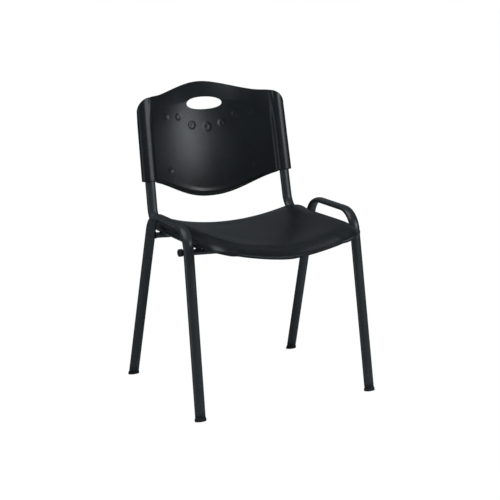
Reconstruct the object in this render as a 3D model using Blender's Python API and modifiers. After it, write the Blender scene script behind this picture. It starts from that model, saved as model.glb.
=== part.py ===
"""Stacking chair: two bent oval-tube leg frames, two bent back supports, two crossbars, moulded seat and backrest.

Metres, +Z up. The chair faces -Y, and left and right are as seen by someone standing in front of it, so left is -X.
The origin is on the floor, under the middle of the chair.
"""

import math

import bmesh
import bpy
from mathutils import Matrix, Vector
from mathutils.bvhtree import BVHTree

# Oval steel tube of the frames, its long axis across the chair, and the round tube of the crossbars
TUBE_WIDTH = 0.030
TUBE_DEPTH = 0.015
TUBE_WALL = 0.0015
OVAL_SIDES = 16
BEND_STEPS = 8
BAR_RADIUS = 0.008
BAR_SIDES = 14
GAP = 0.0003

# Leg frames
FOOT_X = 0.2607
FRAME_TILT = math.radians(0.954)
FRONT_FOOT_Y = -0.2612
REAR_FOOT_Y = 0.1816
FRONT_LEAN = math.radians(10.1)
REAR_LEAN = math.radians(15.5)
RAIL_Z = 0.4936
FRONT_BEND = 0.062
REAR_BEND = 0.056

# Feet
FOOT_LIFT = 0.008
FOOT_OVERHANG = 0.0017
STEM_LENGTH = 0.024
STEM_WALL = 0.0018

# Crossbars, bowed down in the middle so that the dished seat clears them
BAR_END_Z = 0.4315
BAR_SAG = 0.0075
BAR_ARC_HALF = 0.26
BAR_STEPS = 12
FRONT_BAR_HALF = 0.2725
CAP_RADIUS = 0.0101
CAP_DEPTH = 0.0085
CAP_END = 0.0025

# Back supports: seat rail, bend and upright of one tube
SUPPORT_X = 0.216
SUPPORT_BEND = 0.060
UPRIGHT_LEAN = math.radians(12.4)
UPRIGHT_DRAW = 0.020
UPRIGHT_REF_Z = 0.56
UPRIGHT_REF_Y = 0.1467
UPRIGHT_TOP_Z = 0.700
SEAT_RAIL_FRONT_Y = -0.1700
BACK_TAPER = 0.105

# Seat shell
SEAT_HALF_WIDTH = 0.233
SEAT_FRONT_Y = -0.2788
SEAT_REAR_Y = 0.1072
SEAT_REAR_BOW = 0.013
SEAT_WALL = 0.0045
SEAT_FRONT_CORNER = 7.0
SEAT_REAR_CORNER = 12.0
SEAT_ROLL_SIDE = 0.055
SEAT_ROLL_FRONT = 0.065
SEAT_ROLL_REAR = 0.035
SEAT_ROLL_POWER = 2.7
SEAT_SIDE_ROLL_POWER = 2.2
SEAT_SKIRT = 0.005
DISH_Z = 0.4392
DISH_REAR_RISE = 0.0020
CREST_HALF = 0.197
CREST_RISE = 0.0375
CREST_REAR_LOSS = 0.0075
RIM_FRONT_Z = 0.4086
RIM_FRONT_RISE = 0.0247
RIM_FRONT_REACH = 0.16
RIM_CORNER_RISE = 0.0075
RIM_CORNER_START = 0.165
RIM_CORNER_REACH = 0.050
RIM_SIDE_RISE = 0.0115
RIM_SIDE_REACH = 0.077
RIM_REAR_Z = 0.4325
RIM_REAR_RISE = 0.031
SEAT_COLUMNS = 14
SEAT_ROWS = 12
SEAT_RINGS = 6

# Backrest shell
BACK_HALF = 0.237
BACK_LOW_Z = 0.4968
BACK_LOW_RISE = 0.0673
BACK_LOW_POWER = 1.1
BACK_TOP_Z = 0.820
BACK_TOP_DROP = 0.0295
BACK_TOP_REACH = 0.203
BACK_TOP_POWER = 0.93
SHOULDER_X = 0.199
SHOULDER_DROP = 0.040
SHOULDER_LIFT = 0.0024
SHOULDER_LIFT_AT = 0.188
SHOULDER_LIFT_WIDTH = 0.022
BACK_WALL = 0.0045
SLEEVE_HALF_DEPTH = 0.0105
SLEEVE_INNER = 0.203
PANEL_EDGE = 0.190
FLUSH_FROM = 0.700
FLUSH_OVER = 0.090
INNER_X = 0.217
INNER_WIDTH = 0.015
INNER_FALL = 0.0028
PANEL_ARC = 0.200
PANEL_SET_BACK = 0.044
LUMBAR_Z = 0.645
LUMBAR_LOW = 0.50
LUMBAR_HIGH = 0.55
GRIP_CREASE_Z = 0.768
GRIP_CREASE_FALL = 0.118
GRIP_CREASE_START = 0.058
GRIP_TILT = 0.14
LIP_HEIGHT = 0.018
LIP_ROLL = 0.006
LIP_RIDGE = 0.0022
LIP_RIDGE_AT = 0.0135
LIP_RIDGE_WIDTH = 0.0065
CROWN_X = 0.211
CROWN_POWER = 2.3
EDGE_SHARE = 0.12
THIN_FROM = 0.705
THIN_OVER = 0.075
SLEEVE_TOP_DEPTH = -0.004
BACK_COLUMNS = (0.0, 0.02, 0.04, 0.06, 0.08, 0.10, 0.12, 0.14, 0.16, 0.178, 0.190, 0.1945, 0.199, 0.203,
                0.2075, 0.212, 0.217, 0.223, 0.229, 0.2325, 0.2355, 0.237)
BACK_ROWS = (0.0, 0.022, 0.045, 0.072, 0.13, 0.20, 0.28, 0.36, 0.44, 0.52, 0.60, 0.68, 0.76, 0.83, 0.89, 0.94,
             0.975, 1.0)
POCKET_PLAY = 0.0004
POCKET_TOP_Z = 0.708
HOLE_Z = 0.7600
HOLE_HALF_WIDTH = 0.0575
HOLE_HALF_HEIGHT = 0.0171
HOLE_POWER = 2.2
HOLE_POINTS = 32

# Screws: the seat's come up through the rails, the backrest's go forward into the uprights
SEAT_SCREW_YS = (0.028, -0.132)
BOSS_RADIUS = 0.007
BOSS_EMBED = 0.0025
SCREW_HOLE = 0.0028
SHANK_RADIUS = 0.0022
HEAD_RADIUS = 0.0048
HEAD_HEIGHT = 0.0026
SEAT_SCREW_LENGTH = 0.026
BACK_SCREW_Z = 0.600
BACK_SCREW_LENGTH = 0.011
SCREW_SIDES = 12

PARTS = "stacking_chair"
CUTTERS = "cutters"
SIDES = (("left", -1), ("right", 1))

FINISHES = {
    "frame_paint": ((0.018, 0.019, 0.021, 1.0), 0.42, 0.1),
    "shell_plastic": ((0.016, 0.017, 0.019, 1.0), 0.38, 0.0),
    "foot_plastic": ((0.014, 0.014, 0.015, 1.0), 0.60, 0.0),
    "screw_zinc": ((0.55, 0.55, 0.53, 1.0), 0.35, 1.0),
}


# ---------------------------------------------------------------- scene and finishes


def clear_scene():
    """Remove whatever the opened file holds and return the two collections."""
    for obj in list(bpy.data.objects):
        bpy.data.objects.remove(obj, do_unlink=True)
    made = []
    for name in (PARTS, CUTTERS):
        collection = bpy.data.collections.new(name)
        bpy.context.scene.collection.children.link(collection)
        made.append(collection)
    return made


def make_finishes():
    """One Principled material per finish, keyed by name."""
    made = {}
    for name, (colour, roughness, metallic) in FINISHES.items():
        material = bpy.data.materials.new(name)
        material.use_nodes = True
        shader = material.node_tree.nodes["Principled BSDF"]
        shader.inputs["Base Color"].default_value = colour
        shader.inputs["Roughness"].default_value = roughness
        shader.inputs["Metallic"].default_value = metallic
        made[name] = material
    return made


def new_object(name, mesh, collection, material=None):
    """Link a mesh object, shaded smooth with sharp edges kept."""
    obj = bpy.data.objects.new(name, mesh)
    collection.objects.link(obj)
    mesh.shade_smooth()
    mesh.set_sharp_from_angle(angle=math.radians(40))
    if material is not None:
        mesh.materials.clear()
        mesh.materials.append(material)
    return obj


def mesh_from(bm, name):
    """Turn a bmesh into mesh data with its faces pointing out."""
    bmesh.ops.remove_doubles(bm, verts=bm.verts, dist=1e-6)
    bmesh.ops.recalc_face_normals(bm, faces=bm.faces)
    closed = not any(edge.is_boundary for edge in bm.edges)
    if closed and bm.calc_volume(signed=True) < 0:
        bmesh.ops.reverse_faces(bm, faces=bm.faces)
    mesh = bpy.data.meshes.new(name)
    bm.to_mesh(mesh)
    bm.free()
    return mesh


def cut(obj, cutter, operation="DIFFERENCE"):
    """Add a Boolean to a part and hide its cutter."""
    cutter.hide_render = True
    cutter.display_type = "WIRE"
    modifier = obj.modifiers.new(cutter.name, "BOOLEAN")
    modifier.operation = operation
    modifier.object = cutter


# ---------------------------------------------------------------- tubes


def rounded_path(corners, radii, steps):
    """Points along straight runs joined by arcs: one radius for each inner corner."""
    points = [Vector(corners[0])]
    for before, corner, after, radius in zip(corners, corners[1:], corners[2:], radii):
        corner = Vector(corner)
        into = (corner - Vector(before)).normalized()
        out = (Vector(after) - corner).normalized()
        turn = into.angle(out)
        reach = radius * math.tan(turn / 2)
        start = corner - into * reach
        side = (out - into * into.dot(out)).normalized()
        for i in range(steps + 1):
            angle = turn * i / steps
            points.append(start + into * radius * math.sin(angle) + side * radius * (1 - math.cos(angle)))
    points.append(Vector(corners[-1]))
    return points


def section_curve(half_width, half_depth, sides):
    """A closed oval section for sweeping, its first axis across the tube."""
    data = bpy.data.curves.new("tube_section", "CURVE")
    data.dimensions = "2D"
    data.fill_mode = "NONE"
    spline = data.splines.new("POLY")
    spline.points.add(sides - 1)
    for i, point in enumerate(spline.points):
        angle = 2 * math.pi * i / sides
        point.co = (half_width * math.cos(angle), half_depth * math.sin(angle), 0, 1)
    spline.use_cyclic_u = True
    section = bpy.data.objects.new("tube_section", data)
    bpy.context.scene.collection.objects.link(section)
    return section


def swept_mesh(name, points, half_width, half_depth, sides, caps):
    """Sweep an oval along the points and return it as mesh data."""
    section = section_curve(half_width, half_depth, sides)
    data = bpy.data.curves.new(name, "CURVE")
    data.dimensions = "3D"
    data.twist_mode = "Z_UP"
    data.resolution_u = 1
    data.bevel_mode = "OBJECT"
    data.bevel_object = section
    data.use_fill_caps = caps
    spline = data.splines.new("POLY")
    spline.points.add(len(points) - 1)
    for target, point in zip(spline.points, points):
        target.co = (*point, 1)
    sweep = bpy.data.objects.new(name, data)
    bpy.context.scene.collection.objects.link(sweep)
    graph = bpy.context.evaluated_depsgraph_get()
    mesh = bpy.data.meshes.new_from_object(sweep.evaluated_get(graph))
    bpy.data.objects.remove(sweep)
    bpy.data.objects.remove(section)
    bm = bmesh.new()
    bm.from_mesh(mesh)
    bpy.data.meshes.remove(mesh)
    return mesh_from(bm, name)


def hollow_tube(name, points, half_width, half_depth, sides, collection, material):
    """An open swept wall given the tube's wall thickness inwards."""
    mesh = swept_mesh(name, points, half_width, half_depth, sides, caps=False)
    obj = new_object(name, mesh, collection, material)
    wall = obj.modifiers.new("wall", "SOLIDIFY")
    wall.thickness = TUBE_WALL
    wall.offset = -1
    wall.use_even_offset = True
    return obj


def ring_stack(bm, rings, sides, matrix):
    """Draw a circle out through a stack of ovals, each (height, half width, half depth), into a closed body."""
    across = bm.verts.layers.float.new("across")
    along = bm.verts.layers.float.new("along")
    ring = bmesh.ops.create_circle(bm, cap_ends=True, segments=sides, radius=1)["verts"]
    for vert in ring:
        vert[across], vert[along] = vert.co.x, vert.co.y
    edges = list(bm.edges)
    for i, (height, half_width, half_depth) in enumerate(rings):
        if i > 0:
            made = bmesh.ops.extrude_edge_only(bm, edges=edges)["geom"]
            ring = [item for item in made if isinstance(item, bmesh.types.BMVert)]
            edges = [edge for edge in bm.edges if edge.is_boundary]
        for vert in ring:
            vert.co = matrix @ Vector((half_width * vert[across], half_depth * vert[along], height))
    bmesh.ops.contextual_create(bm, geom=edges)


def stacked(name, rings, sides, matrix, collection, material):
    """A closed body of stacked ovals, placed by its object's matrix."""
    bm = bmesh.new()
    ring_stack(bm, rings, sides, Matrix.Identity(4))
    obj = new_object(name, mesh_from(bm, name), collection, material)
    obj.matrix_world = matrix
    return obj


# ---------------------------------------------------------------- leg frames and feet


def leg_line(lean, foot_y, height):
    """The y of a leg's axis at a height; lean is positive towards the back."""
    return foot_y + height * math.tan(lean)


def frame_matrix(side):
    """A leg frame's plane: its feet stand wide and it leans inwards at the rail."""
    return Matrix.Translation((side * FOOT_X, 0, 0)) @ Matrix.Rotation(-side * FRAME_TILT, 4, "Y")


def leg_ends():
    """Foot position and lean of the front and rear leg."""
    return {"front": (FRONT_FOOT_Y, FRONT_LEAN), "rear": (REAR_FOOT_Y, -REAR_LEAN)}


def make_leg_frame(label, side, parts, finishes):
    """One inverted-U frame: front leg, level rail and rear leg in one tube."""
    lift = (FOOT_LIFT + GAP) * math.cos(FRONT_LEAN)
    rear_lift = (FOOT_LIFT + GAP) * math.cos(REAR_LEAN)
    corners = [
        (0, leg_line(FRONT_LEAN, FRONT_FOOT_Y, lift), lift),
        (0, leg_line(FRONT_LEAN, FRONT_FOOT_Y, RAIL_Z), RAIL_Z),
        (0, leg_line(-REAR_LEAN, REAR_FOOT_Y, RAIL_Z), RAIL_Z),
        (0, leg_line(-REAR_LEAN, REAR_FOOT_Y, rear_lift), rear_lift),
    ]
    points = rounded_path(corners, (FRONT_BEND, REAR_BEND), BEND_STEPS)
    name = f"{label}_leg_frame"
    frame = hollow_tube(name, points, TUBE_WIDTH / 2, TUBE_DEPTH / 2, OVAL_SIDES, parts, finishes["frame_paint"])
    frame.matrix_world = frame_matrix(side)
    return frame


def make_foot(label, side, which, parts, finishes):
    """A push-in foot: a flange cut level with the floor, and a hollow stem up the tube."""
    foot_y, lean = leg_ends()[which]
    place = frame_matrix(side) @ Matrix.Translation((0, foot_y, 0)) @ Matrix.Rotation(-lean, 4, "X")
    half_width = TUBE_WIDTH / 2
    half_depth = TUBE_DEPTH / 2
    stem_width = half_width - TUBE_WALL - GAP
    stem_depth = half_depth - TUBE_WALL - GAP
    rings = [
        (-FOOT_LIFT, half_width + FOOT_OVERHANG, half_depth + FOOT_OVERHANG),
        (FOOT_LIFT - 0.0015, half_width + FOOT_OVERHANG, half_depth + FOOT_OVERHANG),
        (FOOT_LIFT, half_width + 0.0005, half_depth + 0.0005),
        (FOOT_LIFT, stem_width, stem_depth),
        (FOOT_LIFT + STEM_LENGTH, stem_width - 0.0004, stem_depth - 0.0004),
        (FOOT_LIFT + STEM_LENGTH, stem_width - STEM_WALL, stem_depth - STEM_WALL),
        (FOOT_LIFT + 0.002, stem_width - STEM_WALL, stem_depth - STEM_WALL),
    ]
    bm = bmesh.new()
    ring_stack(bm, rings, OVAL_SIDES, place)
    everything = bm.verts[:] + bm.edges[:] + bm.faces[:]
    bmesh.ops.bisect_plane(bm, geom=everything, plane_co=(0, 0, 0), plane_no=(0, 0, 1), clear_inner=True)
    open_edges = [edge for edge in bm.edges if edge.is_boundary]
    bmesh.ops.contextual_create(bm, geom=open_edges)
    origin = Matrix.Translation(place.translation)
    bmesh.ops.transform(bm, matrix=origin.inverted(), verts=bm.verts)
    foot = new_object(f"{which}_{label}_foot", mesh_from(bm, "foot"), parts, finishes["foot_plastic"])
    foot.matrix_world = origin
    return foot


# ---------------------------------------------------------------- crossbars


def bar_point(x, y):
    """A point on a crossbar's bowed axis."""
    return Vector((x, y, BAR_END_Z - BAR_SAG * (1 - (x / BAR_ARC_HALF) ** 2)))


def bar_y(which):
    """The front bar is welded to the backs of the front legs, the rear bar between the rear legs."""
    foot_y, lean = leg_ends()[which]
    on_leg = leg_line(lean, foot_y, BAR_END_Z)
    if which == "rear":
        return on_leg
    return on_leg + (TUBE_DEPTH / 2) / math.cos(lean) + BAR_RADIUS + 3 * GAP


def rear_bar_half():
    """Half the rear bar's length: it ends on the inner faces of the rear legs."""
    leg_x = FOOT_X - BAR_END_Z * math.tan(FRAME_TILT)
    return leg_x - TUBE_WIDTH / 2 - 2 * GAP


def make_crossbar(which, half, parts, finishes):
    """A round tube across the chair, bowed down in the middle."""
    y = bar_y(which)
    points = [bar_point(half * (2 * i / BAR_STEPS - 1), y) for i in range(BAR_STEPS + 1)]
    name = f"{which}_crossbar"
    return hollow_tube(name, points, BAR_RADIUS, BAR_RADIUS, BAR_SIDES, parts, finishes["frame_paint"])


def make_bar_cap(label, side, parts, finishes):
    """A plastic cap pushed over each end of the front crossbar."""
    end = bar_point(side * FRONT_BAR_HALF, bar_y("front"))
    inside = bar_point(side * (FRONT_BAR_HALF - CAP_DEPTH), bar_y("front"))
    place = (end - inside).to_track_quat("Z", "Y").to_matrix().to_4x4()
    place.translation = end
    bore = BAR_RADIUS + GAP
    rings = [
        (GAP, bore, bore),
        (GAP - CAP_DEPTH, bore, bore),
        (GAP - CAP_DEPTH, CAP_RADIUS - 0.0006, CAP_RADIUS - 0.0006),
        (GAP - CAP_DEPTH + 0.0008, CAP_RADIUS, CAP_RADIUS),
        (CAP_END - 0.0010, CAP_RADIUS, CAP_RADIUS),
        (CAP_END, CAP_RADIUS - 0.0012, CAP_RADIUS - 0.0012),
    ]
    return stacked(f"{label}_crossbar_cap", rings, BAR_SIDES, place, parts, finishes["foot_plastic"])


# ---------------------------------------------------------------- back supports


def upright_y(z):
    """The y of an upright's axis at a height."""
    return UPRIGHT_REF_Y + (z - UPRIGHT_REF_Z) * math.tan(UPRIGHT_LEAN)


def upright_x(z):
    """Half the distance between the uprights' axes at a height."""
    return SUPPORT_X - UPRIGHT_DRAW * (z - seat_rail_z())


def taper(z):
    """The backrest narrows slightly with height."""
    return 1 - BACK_TAPER * (z - UPRIGHT_REF_Z)


def seat_rail_z():
    """The rails lie on the crossbars."""
    return bar_point(SUPPORT_X, 0).z + BAR_RADIUS + TUBE_DEPTH / 2 + GAP


def support_corners(side, top_z):
    """Front end, bend corner and top of one back support's axis."""
    rail_z = seat_rail_z()
    return [
        (side * SUPPORT_X, SEAT_RAIL_FRONT_Y, rail_z),
        (side * SUPPORT_X, upright_y(rail_z), rail_z),
        (side * upright_x(top_z), upright_y(top_z), top_z),
    ]


def make_back_support(label, side, parts, cutters, finishes):
    """One tube: seat rail, bend and upright, drilled for its screws."""
    points = rounded_path(support_corners(side, UPRIGHT_TOP_Z), (SUPPORT_BEND,), BEND_STEPS)
    name = f"{label}_back_support"
    tube = hollow_tube(name, points, TUBE_WIDTH / 2, TUBE_DEPTH / 2, OVAL_SIDES, parts, finishes["frame_paint"])
    for i, y in enumerate(SEAT_SCREW_YS):
        reach = Matrix.Translation((side * SUPPORT_X, y, seat_rail_z() - 0.012))
        drill = stacked(f"{label}_rail_drill_{i}", [(0, SCREW_HOLE, SCREW_HOLE), (0.024, SCREW_HOLE, SCREW_HOLE)],
                        SCREW_SIDES, reach, cutters, None)
        cut(tube, drill)
    drill = stacked(f"{label}_upright_drill", [(0, SCREW_HOLE, SCREW_HOLE), (0.014, SCREW_HOLE, SCREW_HOLE)],
                    SCREW_SIDES, back_screw_matrix(side, 0), cutters, None)
    cut(tube, drill)
    return tube


def make_rail_plug(label, side, parts, finishes):
    """A plastic plug in the open front end of a seat rail."""
    place = Matrix.Translation((side * SUPPORT_X, SEAT_RAIL_FRONT_Y, seat_rail_z()))
    place = place @ Matrix.Rotation(-math.pi / 2, 4, "X")
    stem_width = TUBE_WIDTH / 2 - TUBE_WALL - GAP
    stem_depth = TUBE_DEPTH / 2 - TUBE_WALL - GAP
    rings = [
        (-0.0030, TUBE_WIDTH / 2 - 0.0015, TUBE_DEPTH / 2 - 0.0015),
        (-0.0020, TUBE_WIDTH / 2, TUBE_DEPTH / 2),
        (-GAP, TUBE_WIDTH / 2, TUBE_DEPTH / 2),
        (-GAP, stem_width, stem_depth),
        (0.014, stem_width - 0.0004, stem_depth - 0.0004),
    ]
    return stacked(f"{label}_seat_rail_plug", rings, OVAL_SIDES, place, parts, finishes["foot_plastic"])


# ---------------------------------------------------------------- seat shell


def smooth(value):
    """Ease from 0 to 1."""
    value = min(max(value, 0.0), 1.0)
    return value * value * (3 - 2 * value)


def seat_plan(a, b, inset):
    """Map a point of the square -1..1 to the seat's plan; inset 0 is the rim, 1 the roll's inner edge."""
    power = SEAT_FRONT_CORNER if b < 0 else SEAT_REAR_CORNER
    size = max(abs(a), abs(b))
    if size > 0:
        share = size / (abs(a) ** power + abs(b) ** power) ** (1 / power)
        a, b = a * share, b * share
    half_width = SEAT_HALF_WIDTH - inset * SEAT_ROLL_SIDE
    front = SEAT_FRONT_Y + inset * SEAT_ROLL_FRONT
    rear = SEAT_REAR_Y - inset * SEAT_ROLL_REAR
    x = half_width * a
    y = (front + rear) / 2 + (rear - front) / 2 * b
    bow = SEAT_REAR_BOW * (x / SEAT_HALF_WIDTH) ** 2 * max(b, 0)
    return x, y - bow


def dish_height(x, y):
    """The seat's dished face, carried on past its crests."""
    back = smooth((y - 0.038) / 0.060)
    middle = DISH_Z + DISH_REAR_RISE * back
    rise = CREST_RISE - CREST_REAR_LOSS * back
    return middle + rise * (x / CREST_HALF) ** 2


def rim_height(x, y):
    """The lowest line of the seat's rolled rim."""
    across = abs(x)
    front = RIM_FRONT_Z + RIM_FRONT_RISE * min(across / RIM_FRONT_REACH, 1) ** 1.5
    front += RIM_CORNER_RISE * smooth((across - RIM_CORNER_START) / RIM_CORNER_REACH)
    front += RIM_SIDE_RISE * min(max((y - SEAT_FRONT_Y) / RIM_SIDE_REACH, 0), 1)
    rear = RIM_REAR_Z + RIM_REAR_RISE * min(across / 0.2, 1) ** 2
    return front + (rear - front) * smooth((y - 0.008) / 0.08)


def roll_share(roll, sideways):
    """How much of the drop to the rim is made at a point of the roll; sideways is 1 on the seat's sides."""
    turned = 1 - math.sqrt(max(1 - roll ** 2.6, 0))
    ends = 0.5 * roll ** SEAT_ROLL_POWER + 0.5 * turned
    return ends + (roll ** SEAT_SIDE_ROLL_POWER - ends) * sideways


def seat_point(a, b, roll):
    """A point of the seat's upper face; roll runs from 0 at the roll's inner edge to 1 at the rim."""
    inner = Vector(seat_plan(a, b, 1.0))
    rim = Vector(seat_plan(a, b, 0.0))
    x, y = inner.lerp(rim, roll)
    drop = dish_height(*rim) - rim_height(*rim) - SEAT_SKIRT
    out = rim - inner
    sideways = abs(out.x) / (abs(out.x) + abs(out.y))
    return Vector((x, y, dish_height(x, y) - drop * roll_share(roll, sideways)))


def seat_face():
    """The seat's upper face: a dished grid, then rings that roll down to the rim and a short skirt."""
    bm = bmesh.new()
    bmesh.ops.create_grid(bm, x_segments=SEAT_COLUMNS, y_segments=SEAT_ROWS, size=1)
    first = bm.verts.layers.float.new("across")
    second = bm.verts.layers.float.new("along")
    for vert in bm.verts:
        vert[first], vert[second] = vert.co.x, vert.co.y
        vert.co = seat_point_inside(vert.co.x, vert.co.y)
    for i in range(1, SEAT_RINGS + 2):
        edges = [edge for edge in bm.edges if edge.is_boundary]
        made = bmesh.ops.extrude_edge_only(bm, edges=edges)["geom"]
        roll = math.sin(math.pi / 2 * min(i / SEAT_RINGS, 1))
        for vert in (item for item in made if isinstance(item, bmesh.types.BMVert)):
            vert.co = seat_point(vert[first], vert[second], roll)
            if i > SEAT_RINGS:
                vert.co.z -= SEAT_SKIRT
    return bm


def seat_point_inside(a, b):
    """A point of the dish inside the roll."""
    x, y = seat_plan(a, b, 1.0)
    return Vector((x, y, dish_height(x, y)))


def boss_matrix(side, y):
    """Where a seat screw's boss stands on its rail."""
    return Matrix.Translation((side * SUPPORT_X, y, seat_rail_z() + TUBE_DEPTH / 2 + GAP))


def boss_height(tree, side, y):
    """From the rail's top up into the seat's wall above a screw; tree holds the seat's upper face."""
    above = tree.ray_cast(Vector((side * SUPPORT_X, y, 1)), Vector((0, 0, -1)))[0]
    return above.z - BOSS_EMBED - (seat_rail_z() + TUBE_DEPTH / 2 + GAP)


def make_seat(parts, cutters, finishes):
    """The moulded seat: a thin wall with four bosses, each bored for a screw."""
    face = seat_face()
    tree = BVHTree.FromBMesh(face)
    seat = new_object("seat_shell", mesh_from(face, "seat_shell"), parts, finishes["shell_plastic"])
    wall = seat.modifiers.new("wall", "SOLIDIFY")
    wall.thickness = SEAT_WALL
    wall.offset = -1
    for label, side in SIDES:
        for i, y in enumerate(SEAT_SCREW_YS):
            height = boss_height(tree, side, y)
            boss = stacked(f"{label}_boss_{i}", [(0, BOSS_RADIUS, BOSS_RADIUS), (height, BOSS_RADIUS, BOSS_RADIUS)],
                           BAR_SIDES, boss_matrix(side, y), cutters, None)
            cut(seat, boss, "UNION")
            bore = stacked(f"{label}_boss_bore_{i}",
                           [(-0.002, SCREW_HOLE, SCREW_HOLE), (height - 0.0015, SCREW_HOLE, SCREW_HOLE)],
                           SCREW_SIDES, boss_matrix(side, y), cutters, None)
            cut(seat, bore)
    return seat


# ---------------------------------------------------------------- backrest shell


def back_low(x):
    """The backrest's lower outline: a curved panel edge between square sleeve ends."""
    curve = BACK_LOW_Z + BACK_LOW_RISE * math.sin(math.pi / 2 * (abs(x) / BACK_HALF) ** BACK_LOW_POWER) ** 2
    square = smooth((abs(x) - PANEL_EDGE) / (SLEEVE_INNER - PANEL_EDGE))
    return curve + (BACK_LOW_Z + BACK_LOW_RISE - curve) * square


def back_top(x):
    """The backrest's upper outline: a low peak, and a rounded shoulder over each sleeve."""
    across = abs(x)
    shoulder = min(max((across - SHOULDER_X) / (BACK_HALF - SHOULDER_X), 0), 1)
    share = min(across / BACK_TOP_REACH, 1) ** BACK_TOP_POWER
    ridge = BACK_TOP_Z - BACK_TOP_DROP * math.sin(math.pi / 2 * share) ** 2
    ridge += SHOULDER_LIFT * math.exp(-((across - SHOULDER_LIFT_AT) / SHOULDER_LIFT_WIDTH) ** 2)
    return ridge - SHOULDER_DROP * (1 - math.sqrt(1 - shoulder ** 2))


def panel_depth(x, z):
    """How far the panel's face lies behind the uprights' axes."""
    if z < LUMBAR_Z:
        depth = PANEL_SET_BACK + LUMBAR_LOW * (z - LUMBAR_Z) ** 2
    else:
        depth = PANEL_SET_BACK + LUMBAR_HIGH * (z - LUMBAR_Z) ** 2
    crease = GRIP_CREASE_Z - GRIP_CREASE_FALL * max(abs(x) - GRIP_CREASE_START, 0)
    depth += GRIP_TILT * max(z - crease, 0)
    height = z - back_low(x)
    depth += LIP_ROLL * max(1 - height / LIP_HEIGHT, 0) ** 2
    depth -= LIP_RIDGE * math.exp(-((height - LIP_RIDGE_AT) / LIP_RIDGE_WIDTH) ** 2)
    outward = min((x / PANEL_ARC) ** 2, 1)
    flush = smooth((z - FLUSH_FROM) / FLUSH_OVER)
    return depth * (1 - outward) - SLEEVE_HALF_DEPTH * flush * outward


def roundness(x):
    """How much of a sleeve's depth is left as it rounds off to its outer edge."""
    share = min(max((abs(x) - CROWN_X) / (BACK_HALF - CROWN_X), 0), 1)
    return (1 - share ** CROWN_POWER) ** (1 / CROWN_POWER)


def rear_depth(z):
    """Depth of a sleeve's rear face: it thins above the uprights' ends."""
    thin = smooth((z - THIN_FROM) / THIN_OVER)
    return SLEEVE_HALF_DEPTH + (SLEEVE_TOP_DEPTH - SLEEVE_HALF_DEPTH) * thin


def back_face(x, z, front):
    """The y of the backrest's front or rear face, x taken before the taper."""
    sleeve = smooth((abs(x) - PANEL_EDGE) / (SLEEVE_INNER - PANEL_EDGE))
    panel = panel_depth(x, z)
    if front:
        inner = min(max((INNER_X - abs(x)) / INNER_WIDTH, 0), 1)
        edge = -SLEEVE_HALF_DEPTH * max(roundness(x), EDGE_SHARE) + INNER_FALL * inner ** 1.3
        depth = panel + (edge - panel) * sleeve
    else:
        panel += BACK_WALL / math.cos(UPRIGHT_LEAN)
        depth = panel + (rear_depth(z) * max(roundness(x), EDGE_SHARE) - panel) * sleeve
    return upright_y(z) + depth


def back_sheet(bm, front):
    """One face of the backrest on a grid of columns across and rows up."""
    columns = [-x for x in reversed(BACK_COLUMNS[1:])] + list(BACK_COLUMNS)
    rows = len(BACK_ROWS) - 1
    made = bmesh.ops.create_grid(bm, x_segments=len(columns) - 1, y_segments=rows, size=1)
    for vert in made["verts"]:
        x = columns[round((vert.co.x + 1) / 2 * (len(columns) - 1))]
        z = back_low(x) + (back_top(x) - back_low(x)) * BACK_ROWS[round((vert.co.y + 1) / 2 * rows)]
        vert.co = (x * taper(z), back_face(x, z, front), z)
    return [edge for edge in bm.edges if edge.is_boundary]


def hole_cutter(cutters):
    """A prism of the handle hole's outline, through the backrest."""
    data = bpy.data.curves.new("handle_hole", "CURVE")
    data.dimensions = "2D"
    data.fill_mode = "BOTH"
    data.extrude = 0.06
    data.resolution_u = 1
    spline = data.splines.new("POLY")
    spline.points.add(HOLE_POINTS - 1)
    for i, point in enumerate(spline.points):
        angle = 2 * math.pi * i / HOLE_POINTS
        across, up = math.cos(angle), math.sin(angle)
        x = HOLE_HALF_WIDTH * math.copysign(abs(across) ** (2 / HOLE_POWER), across)
        z = HOLE_HALF_HEIGHT * math.copysign(abs(up) ** (2 / HOLE_POWER), up)
        point.co = (x, z, 0, 1)
    spline.use_cyclic_u = True
    prism = bpy.data.objects.new("handle_hole", data)
    bpy.context.scene.collection.objects.link(prism)
    graph = bpy.context.evaluated_depsgraph_get()
    mesh = bpy.data.meshes.new_from_object(prism.evaluated_get(graph))
    bpy.data.objects.remove(prism)
    bm = bmesh.new()
    bm.from_mesh(mesh)
    cutter = new_object("handle_hole_cutter", mesh_from(bm, "handle_hole_cutter"), cutters)
    depth = upright_y(HOLE_Z) + PANEL_SET_BACK
    cutter.matrix_world = Matrix.Translation((0, depth, HOLE_Z)) @ Matrix.Rotation(math.pi / 2, 4, "X")
    return cutter


def pocket_cutter(label, side, cutters):
    """The pocket that an upright slides into, open at the sleeve's lower end."""
    corners = support_corners(side, POCKET_TOP_Z)
    low = Vector(corners[1]).lerp(Vector(corners[2]), 0.25)
    half_width = TUBE_WIDTH / 2 + POCKET_PLAY
    half_depth = TUBE_DEPTH / 2 + POCKET_PLAY
    mesh = swept_mesh(f"{label}_pocket", [low, Vector(corners[2])], half_width, half_depth, OVAL_SIDES, caps=True)
    return new_object(f"{label}_pocket_cutter", mesh, cutters)


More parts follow.
